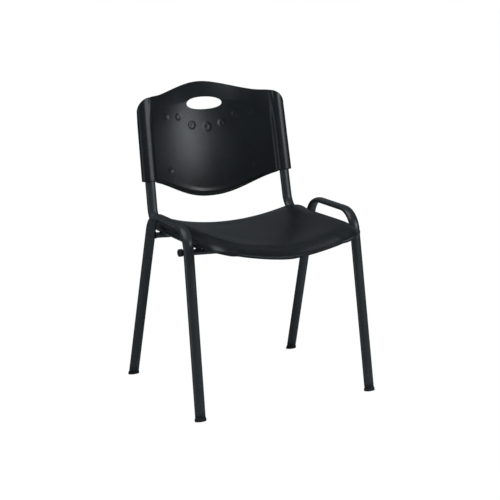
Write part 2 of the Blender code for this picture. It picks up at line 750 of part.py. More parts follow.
def make_backrest(parts, cutters, finishes):
    """The moulded backrest: a dished panel between two sleeves, with a handle hole."""
    bm = bmesh.new()
    front = back_sheet(bm, True)
    back_sheet(bm, False)
    every = [edge for edge in bm.edges if edge.is_boundary]
    assert len(every) == 2 * len(front)
    bmesh.ops.bridge_loops(bm, edges=every)
    back = new_object("backrest_shell", mesh_from(bm, "backrest_shell"), parts, finishes["shell_plastic"])
    cut(back, hole_cutter(cutters))
    for label, side in SIDES:
        cut(back, pocket_cutter(label, side, cutters))
        bore = stacked(f"{label}_sleeve_bore", [(0, SCREW_HOLE, SCREW_HOLE), (0.030, SCREW_HOLE, SCREW_HOLE)],
                       SCREW_SIDES, back_screw_matrix(side, 0), cutters, None)
        cut(back, bore)
    return back


# ---------------------------------------------------------------- screws


def back_screw_matrix(side, distance):
    """A frame on a backrest screw's axis, +Z backwards, square to the upright."""
    point = Vector((side * upright_x(BACK_SCREW_Z), upright_y(BACK_SCREW_Z), BACK_SCREW_Z))
    turn = Matrix.Rotation(-math.pi / 2 - UPRIGHT_LEAN, 4, "X")
    return Matrix.Translation(point) @ turn @ Matrix.Translation((0, 0, distance))


def make_screw(name, place, length, parts, finishes):
    """A pan-head screw: its head starts at the frame's origin and its shank runs along -Z."""
    rings = [
        (-length, SHANK_RADIUS * 0.35, SHANK_RADIUS * 0.35),
        (-length + 0.003, SHANK_RADIUS, SHANK_RADIUS),
        (0, SHANK_RADIUS, SHANK_RADIUS),
        (0, HEAD_RADIUS, HEAD_RADIUS),
        (HEAD_HEIGHT * 0.55, HEAD_RADIUS * 0.94, HEAD_RADIUS * 0.94),
        (HEAD_HEIGHT, HEAD_RADIUS * 0.55, HEAD_RADIUS * 0.55),
    ]
    return stacked(name, rings, SCREW_SIDES, place, parts, finishes["screw_zinc"])


def make_screws(parts, finishes):
    """Four seat screws under the rails and two backrest screws behind the sleeves."""
    for label, side in SIDES:
        for which, y in zip(("rear", "front"), SEAT_SCREW_YS):
            under = Matrix.Translation((side * SUPPORT_X, y, seat_rail_z() - TUBE_DEPTH / 2 - GAP))
            flipped = under @ Matrix.Rotation(math.pi, 4, "X")
            make_screw(f"{which}_{label}_seat_screw", flipped, SEAT_SCREW_LENGTH, parts, finishes)
        behind = back_screw_matrix(side, SLEEVE_HALF_DEPTH / math.cos(UPRIGHT_LEAN) + GAP)
        make_screw(f"{label}_backrest_screw", behind, BACK_SCREW_LENGTH, parts, finishes)


# ---------------------------------------------------------------- the chair


def main():
    """Build every piece of the chair."""
    parts, cutters = clear_scene()
    finishes = make_finishes()
    for label, side in SIDES:
        make_leg_frame(label, side, parts, finishes)
        for which in leg_ends():
            make_foot(label, side, which, parts, finishes)
        make_back_support(label, side, parts, cutters, finishes)
        make_rail_plug(label, side, parts, finishes)
        make_bar_cap(label, side, parts, finishes)
    make_crossbar("front", FRONT_BAR_HALF, parts, finishes)
    make_crossbar("rear", rear_bar_half(), parts, finishes)
    make_seat(parts, cutters, finishes)
    make_backrest(parts, cutters, finishes)
    make_screws(parts, finishes)


main()
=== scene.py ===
"""Stacking chair, the finished model: painted oval-tube frame, moulded seat and backrest, feet, caps, screws.

Metres, +Z up, the chair faces -Y. Left is -X, as seen by someone standing in front of the chair.
"""

import logging
import math
from dataclasses import dataclass
from enum import Enum
from typing import Iterable

import bmesh
import bpy
from bmesh.types import BMEdge, BMesh, BMVert
from bpy.types import NodeTree
from mathutils import Matrix, Vector


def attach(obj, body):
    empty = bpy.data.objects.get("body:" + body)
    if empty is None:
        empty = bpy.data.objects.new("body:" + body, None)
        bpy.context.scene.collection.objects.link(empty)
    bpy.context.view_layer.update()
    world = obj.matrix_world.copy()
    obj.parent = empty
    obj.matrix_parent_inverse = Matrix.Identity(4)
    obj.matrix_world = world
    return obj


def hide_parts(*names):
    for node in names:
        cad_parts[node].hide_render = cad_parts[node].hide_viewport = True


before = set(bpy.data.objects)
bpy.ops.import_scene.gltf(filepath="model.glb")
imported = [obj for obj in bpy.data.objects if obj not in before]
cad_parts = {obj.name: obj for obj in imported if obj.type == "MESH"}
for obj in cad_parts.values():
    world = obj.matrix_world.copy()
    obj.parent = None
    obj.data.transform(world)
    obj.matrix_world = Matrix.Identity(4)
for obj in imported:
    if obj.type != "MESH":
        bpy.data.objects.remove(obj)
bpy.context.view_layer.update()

LOG = logging.getLogger("stacking_chair")
MERGE = 1e-6
GAP = 0.0003
SHARP_ANGLE = math.radians(50)
UPWARD = Vector((0, 0, 1))
WHITE = (1.0, 1.0, 1.0, 1.0)

Socket = bpy.types.NodeSocket
Pair = tuple[float, float]
Triple = tuple[float, float, float]


# -------- named options


class Side(Enum):
    """The two sides of the chair, with the sign of x on each."""

    LEFT = -1
    RIGHT = 1

    @property
    def label(self) -> str:
        """The side's word in node names."""
        return self.name.lower()


class Leg(Enum):
    """The two legs of a leg frame."""

    FRONT = "front"
    REAR = "rear"


class Slot(Enum):
    """The material slots of the record."""

    FRAME = "frame_paint"
    SHELL = "shell_plastic"
    FOOT = "foot_plastic"
    SCREW = "screw_zinc"


class Face(Enum):
    """The two faces of a moulded wall."""

    FRONT = "front"
    REAR = "rear"


# -------- small sums


def ease(value: float) -> float:
    """Ease a number from 0 to 1.

    Args:
        value: any number; below 0 counts as 0 and above 1 as 1.

    Returns:
        The eased share.
    """
    value = min(max(value, 0.0), 1.0)
    return value * value * (3 - 2 * value)


def lerp(start: float, end: float, share: float) -> float:
    """Mix two numbers by a share of the second."""
    return start + (end - start) * share


# -------- node graphs


# sockets of the mix node that carry colours
MIX_COLOURS = slice(6, 8)
MIX_RESULT = 2


class Graph:
    """Builds one node tree, for a material, the world or a group."""

    def __init__(self, tree: NodeTree) -> None:
        """Clear the tree and keep it."""
        tree.nodes.clear()
        self.tree = tree

    def node(self, kind: str, **settings: object) -> bpy.types.Node:
        """Add a node.

        Args:
            kind: the node's type name.
            settings: properties by name; the rest are inputs by name with spaces as underscores.

        Returns:
            The new node.
        """
        node = self.tree.nodes.new(kind)
        for name, value in settings.items():
            if hasattr(node, name):
                setattr(node, name, value)
            else:
                node.inputs[name.replace("_", " ")].default_value = value
        return node

    def link(self, source: Socket, target: Socket) -> None:
        """Join two sockets."""
        self.tree.links.new(source, target)

    def maths(self, operation: str, first: object, second: object = 0.0) -> Socket:
        """Add a maths node.

        Args:
            operation: the sum it does.
            first: a socket or a number.
            second: a socket or a number.

        Returns:
            Its output.
        """
        node = self.node("ShaderNodeMath", operation=operation)
        for socket, value in zip(node.inputs, (first, second)):
            if isinstance(value, Socket):
                self.link(value, socket)
            else:
                socket.default_value = value
        return node.outputs["Value"]

    def noise(self, where: Socket, scale: Socket, detail: float, roughness: float) -> Socket:
        """Add a noise texture.

        Args:
            where: the coordinates it reads.
            scale: its cells in a metre.
            detail: its octaves.
            roughness: how strong the fine ones are.

        Returns:
            Its value.
        """
        node = self.node("ShaderNodeTexNoise", Detail=detail, Roughness=roughness)
        self.link(where, node.inputs["Vector"])
        self.link(scale, node.inputs["Scale"])
        return node.outputs["Fac"]

    def spread(self, value: Socket, span: Pair, to: Pair = (0.0, 1.0)) -> Socket:
        """Map a value from one range to another, clamped.

        Args:
            value: the socket to read.
            span: its range.
            to: the new range.

        Returns:
            The mapped value.
        """
        node = self.node("ShaderNodeMapRange", clamp=True)
        self.link(value, node.inputs["Value"])
        for name, number in zip(("From Min", "From Max", "To Min", "To Max"), (*span, *to)):
            node.inputs[name].default_value = number
        return node.outputs["Result"]

    def blend(self, share: Socket, first: object, second: object) -> Socket:
        """Mix two colours.

        Args:
            share: how much of the second.
            first: a colour or a socket.
            second: a colour or a socket.

        Returns:
            The mixed colour.
        """
        node = self.node("ShaderNodeMix", data_type="RGBA")
        self.link(share, node.inputs["Factor"])
        for socket, value in zip(node.inputs[MIX_COLOURS], (first, second)):
            if isinstance(value, Socket):
                self.link(value, socket)
            else:
                socket.default_value = (*value, 1.0)
        return node.outputs[MIX_RESULT]


CLOUD_STRETCH = (1.0, 1.0, 0.45)
CLOUD_SPAN = (0.3, 0.7)
# detail and roughness of each noise
FINE_NOISE = (3.0, 0.6)
CLOUD_NOISE = (4.0, 0.55)
FLECK_NOISE = (2.0, 0.7)
WEAR_NOISE = (4.0, 0.65)
DUST_NOISE = (6.0, 0.6)
PEBBLE_SMOOTHNESS = 0.6
PEBBLE_RELIEF = 0.6
FINE_PER_PEBBLE = 0.37
FLECK_PER_CLOUD = 11.0
FLECK_SPAN = (0.58, 0.74)
EDGE_SPAN = (0.52, 0.60)
WEAR_SPAN = (0.35, 0.65)
DUST_SPAN = (0.4, 0.8)
UPWARD_SPAN = (0.5, 1.0)


@dataclass(frozen=True)
class SurfaceGroups:
    """The shader groups that several finishes share."""

    grain: NodeTree
    wear: NodeTree
    dust: NodeTree

    @staticmethod
    def build() -> "SurfaceGroups":
        """Make every group once."""
        return SurfaceGroups(SurfaceGroups.make_grain(), SurfaceGroups.make_wear(), SurfaceGroups.make_dust())

    @staticmethod
    def start(name: str, inputs: dict[str, float], outputs: Iterable[str]
              ) -> tuple[Graph, bpy.types.Node, bpy.types.Node]:
        """Start a group with number sockets.

        Args:
            name: the group's name.
            inputs: input names with their defaults.
            outputs: output names.

        Returns:
            The graph, its input node and its output node.
        """
        tree = bpy.data.node_groups.new(name, "ShaderNodeTree")
        graph = Graph(tree)
        for word, value in inputs.items():
            socket = tree.interface.new_socket(word, in_out="INPUT", socket_type="NodeSocketFloat")
            socket.default_value = value
        for word in outputs:
            tree.interface.new_socket(word, in_out="OUTPUT", socket_type="NodeSocketFloat")
        return graph, graph.node("NodeGroupInput"), graph.node("NodeGroupOutput")

    @staticmethod
    def make_grain() -> NodeTree:
        """Fine pebbled grain with slow cloudy changes over it.

        Returns:
            The group.
        """
        graph, given, out = SurfaceGroups.start(
            "surface_grain", {"Pebble Scale": 900.0, "Cloud Scale": 14.0}, ("Relief", "Cloud", "Fleck"))
        pebble_scale, cloud_scale = given.outputs["Pebble Scale"], given.outputs["Cloud Scale"]
        where = graph.node("ShaderNodeTexCoord").outputs["Object"]
        stretch = graph.node("ShaderNodeMapping", Scale=CLOUD_STRETCH)
        graph.link(where, stretch.inputs["Vector"])
        pebbles = graph.node("ShaderNodeTexVoronoi", feature="SMOOTH_F1")
        pebbles.inputs["Smoothness"].default_value = PEBBLE_SMOOTHNESS
        graph.link(where, pebbles.inputs["Vector"])
        graph.link(pebble_scale, pebbles.inputs["Scale"])
        fine = graph.noise(where, graph.maths("MULTIPLY", pebble_scale, FINE_PER_PEBBLE), *FINE_NOISE)
        pits = graph.maths("MULTIPLY", pebbles.outputs["Distance"], PEBBLE_RELIEF)
        graph.link(graph.maths("ADD", pits, fine), out.inputs["Relief"])
        cloud = graph.noise(stretch.outputs["Vector"], cloud_scale, *CLOUD_NOISE)
        graph.link(graph.spread(cloud, CLOUD_SPAN), out.inputs["Cloud"])
        fleck = graph.noise(where, graph.maths("MULTIPLY", cloud_scale, FLECK_PER_CLOUD), *FLECK_NOISE)
        graph.link(graph.spread(fleck, FLECK_SPAN), out.inputs["Fleck"])
        return graph.tree

    @staticmethod
    def make_wear() -> NodeTree:
        """Rubbed edges: a mask where the surface turns sharply, broken up by noise.

        Returns:
            The group.
        """
        graph, given, out = SurfaceGroups.start("edge_wear", {"Break Up": 60.0}, ("Mask",))
        edges = graph.spread(graph.node("ShaderNodeNewGeometry").outputs["Pointiness"], EDGE_SPAN)
        where = graph.node("ShaderNodeTexCoord").outputs["Object"]
        patchy = graph.spread(graph.noise(where, given.outputs["Break Up"], *WEAR_NOISE), WEAR_SPAN)
        graph.link(graph.maths("MULTIPLY", edges, patchy), out.inputs["Mask"])
        return graph.tree

    @staticmethod
    def make_dust() -> NodeTree:
        """Thin dust: a mask on faces that look up.

        Returns:
            The group.
        """
        graph, given, out = SurfaceGroups.start("settled_dust", {"Amount": 0.5, "Patch Scale": 30.0}, ("Mask",))
        split = graph.node("ShaderNodeSeparateXYZ")
        graph.link(graph.node("ShaderNodeNewGeometry").outputs["Normal"], split.inputs[0])
        where = graph.node("ShaderNodeTexCoord").outputs["Object"]
        patchy = graph.spread(graph.noise(where, given.outputs["Patch Scale"], *DUST_NOISE), DUST_SPAN)
        thin = graph.maths("MULTIPLY", graph.spread(split.outputs["Z"], UPWARD_SPAN), patchy)
        graph.link(graph.maths("MULTIPLY", thin, given.outputs["Amount"]), out.inputs["Mask"])
        return graph.tree


# -------- finishes


COAT_ROUGHNESS = 0.25
FLECK_SHARE = 0.25
DUST_SHARE = 0.12
DUST_COLOUR = (0.30, 0.30, 0.29)
DUST_DULLNESS = 0.10
RUBBED_GLOSS = 0.06


@dataclass(frozen=True)
class Finish:
    """One dressed surface: its colours, gloss and relief.

    Attributes:
        name: the material's name.
        dark: colour in the clouds' hollows.
        light: colour on their crests.
        worn: colour of rubbed edges.
        gloss: least and most roughness.
        metallic: 1 for bare metal.
        relief: depth of the grain in metres.
        pebble: grain cells in a metre.
        cloud: slow changes in a metre.
        wear: strength of the edge wear.
        dust: strength of the dust.
        coat: weight of the clear skin.
    """

    name: str
    dark: Triple
    light: Triple
    worn: Triple
    gloss: Pair
    metallic: float = 0.0
    relief: float = 0.00004
    pebble: float = 900.0
    cloud: float = 14.0
    wear: float = 0.5
    dust: float = 0.3
    coat: float = 0.0

    def material(self, groups: SurfaceGroups) -> bpy.types.Material:
        """Build the material.

        Args:
            groups: the shared shader groups.

        Returns:
            The material, ready to assign.
        """
        material = bpy.data.materials.new(self.name)
        material.use_nodes = True
        graph = Graph(material.node_tree)
        out = graph.node("ShaderNodeOutputMaterial")
        skin = graph.node("ShaderNodeBsdfPrincipled", Metallic=self.metallic)
        skin.inputs["Coat Weight"].default_value = self.coat
        skin.inputs["Coat Roughness"].default_value = COAT_ROUGHNESS
        graph.link(skin.outputs["BSDF"], out.inputs["Surface"])
        grain = graph.node("ShaderNodeGroup", node_tree=groups.grain)
        grain.inputs["Pebble Scale"].default_value = self.pebble
        grain.inputs["Cloud Scale"].default_value = self.cloud
        wear = graph.node("ShaderNodeGroup", node_tree=groups.wear)
        dust = graph.node("ShaderNodeGroup", node_tree=groups.dust)
        dust.inputs["Amount"].default_value = self.dust
        rubbed = graph.maths("MULTIPLY", wear.outputs["Mask"], self.wear)
        colour = graph.blend(grain.outputs["Cloud"], self.dark, self.light)
        colour = graph.blend(graph.maths("MULTIPLY", grain.outputs["Fleck"], FLECK_SHARE), colour, self.worn)
        colour = graph.blend(rubbed, colour, self.worn)
        colour = graph.blend(graph.maths("MULTIPLY", dust.outputs["Mask"], DUST_SHARE), colour, DUST_COLOUR)
        graph.link(colour, skin.inputs["Base Color"])
        rough = graph.spread(grain.outputs["Cloud"], (0.0, 1.0), self.gloss)
        rough = graph.maths("SUBTRACT", rough, graph.maths("MULTIPLY", rubbed, RUBBED_GLOSS))
        rough = graph.maths("ADD", rough, graph.maths("MULTIPLY", dust.outputs["Mask"], DUST_DULLNESS))
        graph.link(rough, skin.inputs["Roughness"])
        bump = graph.node("ShaderNodeBump", Strength=1.0, Distance=self.relief)
        graph.link(grain.outputs["Relief"], bump.inputs["Height"])
        graph.link(bump.outputs["Normal"], skin.inputs["Normal"])
        return material


FINISHES: dict[str, Finish] = {
    "shell": Finish("moulded_black_polypropylene", (0.0120, 0.0145, 0.0165), (0.0175, 0.0212, 0.0240),
                    (0.040, 0.044, 0.048), (0.29, 0.36), relief=0.00003, pebble=1100.0, cloud=9.0, wear=0.35),
    "frame": Finish("black_powder_coat", (0.0360, 0.0420, 0.0460), (0.0480, 0.0560, 0.0610),
                    (0.090, 0.096, 0.102), (0.31, 0.38), relief=0.00003, pebble=520.0, cloud=22.0, wear=0.45,
                    dust=0.2, coat=0.12),
    "weld": Finish("painted_weld", (0.0380, 0.0440, 0.0480), (0.0500, 0.0580, 0.0630), (0.090, 0.096, 0.102),
                   (0.36, 0.50), relief=0.00012, pebble=700.0, cloud=60.0, wear=0.4, dust=0.2),
    "foot": Finish("dull_black_plastic", (0.0120, 0.0125, 0.0135), (0.0190, 0.0195, 0.0205), (0.060, 0.060, 0.062),
                   (0.52, 0.66), relief=0.00005, pebble=800.0, cloud=45.0, wear=0.7, dust=0.6),
    "screw": Finish("zinc_plated_steel", (0.46, 0.46, 0.44), (0.60, 0.60, 0.57), (0.72, 0.72, 0.70),
                    (0.26, 0.42), metallic=1.0, relief=0.00002, pebble=2400.0, cloud=220.0, wear=0.5, dust=0.2),
}


def show(name: str, data: bpy.types.ID) -> bpy.types.Object:
    """Put a new object with this data in the scene, at the origin.

    Args:
        name: the object's name.
        data: its mesh, light or camera.

    Returns:
        The object.
    """
    obj = bpy.data.objects.new(name, data)
    bpy.context.scene.collection.objects.link(obj)
    return obj


class Workshop:
    """Holds the finishes and turns bmeshes into pieces of the chair."""

    def __init__(self) -> None:
        """Make the shader groups and every finish."""
        groups = SurfaceGroups.build()
        self.materials = {word: finish.material(groups) for word, finish in FINISHES.items()}

    def piece(self, bm: BMesh, name: str, finish: str, nodes: Iterable[str] = (),
              thickness: float = 0.0) -> bpy.types.Object:
        """Turn a bmesh into a shown piece.

        Args:
            bm: its faces; it is freed.
            name: the piece's name.
            finish: a key of FINISHES.
            nodes: the solid-model nodes it stands for.
            thickness: wall to add inwards, 0 for none.

        Returns:
            The new object, at the origin.
        """
        bmesh.ops.remove_doubles(bm, verts=bm.verts, dist=MERGE)
        bmesh.ops.recalc_face_normals(bm, faces=bm.faces)
        closed = not any(edge.is_boundary for edge in bm.edges)
        if closed and bm.calc_volume(signed=True) < 0:
            bmesh.ops.reverse_faces(bm, faces=bm.faces)
        mesh = bpy.data.meshes.new(name)
        bm.to_mesh(mesh)
        bm.free()
        mesh.shade_smooth()
        mesh.set_sharp_from_angle(angle=SHARP_ANGLE)
        mesh.materials.append(self.materials[finish])
        obj = show(name, mesh)
        if thickness:
            wall = obj.modifiers.new("wall", "SOLIDIFY")
            wall.thickness = thickness
            wall.offset = -1
            wall.use_even_offset = True
        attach(obj, "root")
        if nodes:
            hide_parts(*nodes)
        LOG.info("%s: %d faces", name, len(mesh.polygons))
        return obj


# -------- drawing tools


def ring_edges(verts: Iterable[BMVert]) -> list[BMEdge]:
    """The edges between the vertices of a fresh ring, each once and always in the same order."""
    return list(dict.fromkeys(edge for vert in verts for edge in vert.link_edges))


def extend(bm: BMesh, edges: list[BMEdge]) -> tuple[list[BMVert], list[BMEdge]]:
    """Extrude open edges where they stand.

    Args:
        bm: the mesh to draw in.
        edges: the open edges.

    Returns:
        The new vertices, to be moved, and the new open edges.
    """
    made = bmesh.ops.extrude_edge_only(bm, edges=edges)["geom"]
    edges = [item for item in made if isinstance(item, BMEdge) and item.is_boundary]
    return [item for item in made if isinstance(item, BMVert)], edges


def inset_rings(steps: Iterable[Pair], half_width: float, half_depth: float) -> list[Triple]:
    """Turn an outline into rings.

    Args:
        steps: height of each ring, and how far it is drawn in.
        half_width: half the width of the oval that they are drawn in from.
        half_depth: half its depth.

    Returns:
        Height, half width and half depth of each ring.
    """
    return [(height, half_width - inset, half_depth - inset) for height, inset in steps]


def draw_rings(bm: BMesh, rings: Iterable[Triple], sides: int,
               matrix: Matrix, corners: int = 0) -> None:
    """Draw a circle out through a stack of ovals into one closed body.

    Args:
        bm: an empty bmesh, or one whose faces are all closed.
        rings: height, half width and half depth of each oval; a negative half width makes a many-cornered ring.
        sides: points round each oval.
        matrix: where the stack stands.
        corners: corners of such a ring.
    """
    turn = bm.verts.layers.float.get("turn") or bm.verts.layers.float.new("turn")
    ring = bmesh.ops.create_circle(bm, cap_ends=True, segments=sides, radius=1)["verts"]
    for vert in ring:
        vert[turn] = math.atan2(vert.co.y, vert.co.x)
    edges = ring_edges(ring)
    step = 2 * math.pi / max(corners, 1)
    for i, (height, half_width, half_depth) in enumerate(rings):
        if i > 0:
            ring, edges = extend(bm, edges)
        for vert in ring:
            angle = vert[turn]
            grow = math.cos(step / 2) / math.cos((angle % step) - step / 2) if half_width < 0 else 1.0
            vert.co = matrix @ Vector((abs(half_width) * grow * math.cos(angle),
                                       half_depth * grow * math.sin(angle), height))
    bmesh.ops.contextual_create(bm, geom=edges)


@dataclass
class TubeRun:
    """Draws one oval tube through straights and bends.

    Attributes:
        bm: the mesh it draws in.
        position: the axis point reached so far.
        heading: the axis direction there.
        across: the tube's wide direction, which every bend turns about.
        edges: the open ring being drawn out.
    """

    bm: BMesh
    position: Vector
    heading: Vector
    across: Vector
    edges: list[BMEdge]

    @staticmethod
    def start(bm: BMesh, position: Vector, heading: Vector, across: Vector, half_width: float,
              half_depth: float, sides: int) -> "TubeRun":
        """Lay the first ring.

        Args:
            bm: the mesh to draw in.
            position: the ring's centre.
            heading: the tube's direction.
            across: its wide direction.
            half_width: half its width.
            half_depth: half its depth.
            sides: points round it.

        Returns:
            The run, ready to extend.
        """
        depth = heading.cross(across)
        frame_matrix = Matrix((across * half_width, depth * half_depth, heading)).transposed().to_4x4()
        frame_matrix.translation = position
        made = bmesh.ops.create_circle(bm, cap_ends=False, segments=sides, radius=1, matrix=frame_matrix)
        return TubeRun(bm, position.copy(), heading.copy(), across.copy(), ring_edges(made["verts"]))

    def straight(self, length: float, steps: int = 1) -> None:
        """Go straight on.

        Args:
            length: how far.
            steps: rings laid on the way.
        """
        for _ in range(steps):
            verts, self.edges = extend(self.bm, self.edges)
            move = self.heading * (length / steps)
            bmesh.ops.translate(self.bm, verts=verts, vec=move)
            self.position += move

    def bend(self, radius: float, angle: float, steps: int) -> None:
        """Bend about the wide direction; a positive angle turns the heading by the right-hand rule.

        Args:
            radius: of the axis.
            angle: how far it turns, in radians.
            steps: rings laid on the way.
        """
        sign = 1 if angle > 0 else -1
        centre = self.position + self.across.cross(self.heading) * radius * sign
        made = bmesh.ops.spin(self.bm, geom=self.edges, cent=centre, axis=self.across, dvec=(0, 0, 0), angle=angle,
                              steps=steps, use_merge=False, use_normal_flip=False, use_duplicate=False)
        self.edges = [item for item in made["geom_last"] if isinstance(item, BMEdge)]
        turn = Matrix.Rotation(angle, 3, self.across)
        self.position = centre + turn @ (self.position - centre)
        self.heading = turn @ self.heading


# -------- the frame


@dataclass
class FrameSizes:
    """Sizes that the tubes share."""

    half_width: float = 0.015
    half_depth: float = 0.0075
    wall: float = 0.0015
    sides: int = 48
    bend_steps: int = 28
    foot_x: float = 0.2607
    tilt: float = math.radians(0.954)
    front_foot_y: float = -0.2612
    rear_foot_y: float = 0.1816
    front_lean: float = math.radians(10.1)
    rear_lean: float = math.radians(15.5)
    rail_z: float = 0.4936
    front_bend: float = 0.062
    rear_bend: float = 0.056
    foot_lift: float = 0.008
    bar_radius: float = 0.008
    bar_end_z: float = 0.4315
    bar_sag: float = 0.0075
    bar_arc_half: float = 0.26
    support_x: float = 0.216
    support_bend: float = 0.060
    support_front_y: float = -0.1700
    upright_lean: float = math.radians(12.4)
    upright_draw: float = 0.020
    upright_ref_z: float = 0.56
    upright_ref_y: float = 0.1467
    upright_top_z: float = 0.700
    front_bar_half: float = 0.2725

    def lean(self, leg: Leg) -> float:
        """A leg's lean towards the back, in radians."""
        return self.front_lean if leg is Leg.FRONT else -self.rear_lean

    def foot_y(self, leg: Leg) -> float:
        """Where a leg's axis meets the floor."""
        return self.front_foot_y if leg is Leg.FRONT else self.rear_foot_y

    def leg_y(self, leg: Leg, z: float) -> float:
        """Where a leg's axis is at a height."""
        return self.foot_y(leg) + z * math.tan(self.lean(leg))

    def plane(self, side: Side) -> Matrix:
        """The tilted plane that a leg frame lies in."""
        foot = Matrix.Translation((side.value * self.foot_x, 0, 0))
        return foot @ Matrix.Rotation(-side.value * self.tilt, 4, "Y")

    def bar_z(self, x: float) -> float:
        """Height of a crossbar's bowed axis."""
        return self.bar_end_z - self.bar_sag * (1 - (x / self.bar_arc_half) ** 2)

    def bar_y(self, leg: Leg) -> float:
        """Where a crossbar lies: behind the front legs, or between the rear legs.

        Args:
            leg: whose bar.

        Returns:
            Its y.
        """
        y = self.leg_y(leg, self.bar_end_z)
        if leg is Leg.FRONT:
            y += self.half_depth / math.cos(self.front_lean) + self.bar_radius + 3 * GAP
        return y

    def bar_half(self, leg: Leg) -> float:
        """Half a crossbar's length.

        Args:
            leg: whose bar.

        Returns:
            The half length.
        """
        if leg is Leg.FRONT:
            return self.front_bar_half
        return self.foot_x - self.bar_end_z * math.tan(self.tilt) - self.half_width - 2 * GAP

    def seat_rail_z(self) -> float:
        """Height of the seat rails' axes: they lie on the crossbars."""
        return self.bar_z(self.support_x) + self.bar_radius + self.half_depth + GAP

    def upright_y(self, z: float) -> float:
        """Where an upright's axis is at a height."""
        return self.upright_ref_y + (z - self.upright_ref_z) * math.tan(self.upright_lean)

    def upright_x(self, z: float) -> float:
        """Half the distance between the uprights' axes at a height."""
        return self.support_x - self.upright_draw * (z - self.seat_rail_z())


@dataclass
class LegFrames:
    """The two inverted-U frames."""

    sizes: FrameSizes
    leg_steps: int = 10
    rail_steps: int = 4

    def draw(self, side: Side) -> BMesh:
        """Draw one frame from its front foot over to its rear foot.

        Args:
            side: which frame.

        Returns:
            Its outer skin.
        """
        sizes = self.sizes
        bm = bmesh.new()
        lift = (sizes.foot_lift + GAP) * math.cos(sizes.front_lean)
        start = Vector((0, sizes.leg_y(Leg.FRONT, lift), lift))
        heading = Vector((0, math.sin(sizes.front_lean), math.cos(sizes.front_lean)))
        run = TubeRun.start(bm, start, heading, Vector((1, 0, 0)), sizes.half_width, sizes.half_depth, sizes.sides)
        front_turn = math.pi / 2 - sizes.front_lean
        rear_turn = math.pi / 2 - sizes.rear_lean
        front_reach = sizes.front_bend * math.tan(front_turn / 2)
        rear_reach = sizes.rear_bend * math.tan(rear_turn / 2)
        run.straight((sizes.rail_z - lift) / math.cos(sizes.front_lean) - front_reach, self.leg_steps)
        run.bend(sizes.front_bend, -front_turn, sizes.bend_steps)
        rail = sizes.leg_y(Leg.REAR, sizes.rail_z) - sizes.leg_y(Leg.FRONT, sizes.rail_z)
        run.straight(rail - front_reach - rear_reach, self.rail_steps)
        run.bend(sizes.rear_bend, -rear_turn, sizes.bend_steps)
        rear_lift = (sizes.foot_lift + GAP) * math.cos(sizes.rear_lean)
        run.straight((sizes.rail_z - rear_lift) / math.cos(sizes.rear_lean) - rear_reach, self.leg_steps)
        bmesh.ops.transform(bm, matrix=sizes.plane(side), verts=bm.verts)
        return bm

    def build(self, shop: Workshop) -> None:
        """Make both frames.

        Args:
            shop: turns the meshes into pieces.
        """
        for side in Side:
            name = f"{side.label}_leg_frame"
            shop.piece(self.draw(side), f"{name}_tube", "frame", [name], thickness=self.sizes.wall)


@dataclass
class BackSupports:
    """The two bent tubes under the seat and up into the backrest, and the plugs in their front ends."""

    sizes: FrameSizes
    rail_steps: int = 8
    upright_steps: int = 6
    plug_length: float = 0.0030
    plug_edge: tuple[Pair, ...] = (
        (0.0002, 0.0040), (0.0003, 0.0020), (0.0007, 0.0010), (0.0014, 0.0003), (0.0020, 0))
    stem_length: float = 0.014
    stem_tip: float = 0.003
    stem_taper: float = 0.0006

    def draw(self, side: Side) -> BMesh:
        """Draw one support from its front end to its top.

        Args:
            side: which support.

        Returns:
            Its outer skin.
        """
        sizes = self.sizes
        rail_z = sizes.seat_rail_z()
        corner_y = sizes.upright_y(rail_z)
        x = side.value * sizes.support_x
        top_z = sizes.upright_top_z
        top = Vector((side.value * sizes.upright_x(top_z), sizes.upright_y(top_z), top_z))
        upward = (top - Vector((x, corner_y, rail_z))).normalized()
        turn = Vector((0, 1, 0)).angle(upward)
        reach = sizes.support_bend * math.tan(turn / 2)
        across = upward.cross(Vector((0, 1, 0))).normalized()
        across = -across if across.x < 0 else across
        bm = bmesh.new()
        start = Vector((x, sizes.support_front_y, rail_z))
        run = TubeRun.start(bm, start, Vector((0, 1, 0)), across, sizes.half_width, sizes.half_depth, sizes.sides)
        run.straight(corner_y - sizes.support_front_y - reach, self.rail_steps)
        run.bend(sizes.support_bend, turn, sizes.bend_steps)
        run.straight((top - run.position).length, self.upright_steps)
        return bm

    def draw_plug(self, side: Side) -> BMesh:
        """Draw the plug in a rail's front end.

        Args:
            side: which rail.

        Returns:
            The closed plug.
        """
        sizes = self.sizes
        place = Matrix.Translation((side.value * sizes.support_x, sizes.support_front_y, sizes.seat_rail_z()))
        place = place @ Matrix.Rotation(-math.pi / 2, 4, "X")
        stem = sizes.wall + GAP
        steps = [(back - self.plug_length, inset) for back, inset in self.plug_edge]
        steps += [(-GAP, 0), (-GAP, stem), (self.stem_length - self.stem_tip, stem),
                  (self.stem_length, stem + self.stem_taper)]
        rings = inset_rings(steps, sizes.half_width, sizes.half_depth)
        bm = bmesh.new()
        draw_rings(bm, rings, sizes.sides, place)
        return bm

    def build(self, shop: Workshop) -> None:
        """Make both supports and both plugs.

        Args:
            shop: turns the meshes into pieces.
        """
        for side in Side:
            name = f"{side.label}_back_support"
            shop.piece(self.draw(side), f"{name}_tube", "frame", [name], thickness=self.sizes.wall)
            plug = f"{side.label}_seat_rail_plug"
            shop.piece(self.draw_plug(side), f"{plug}_moulding", "foot", [plug])


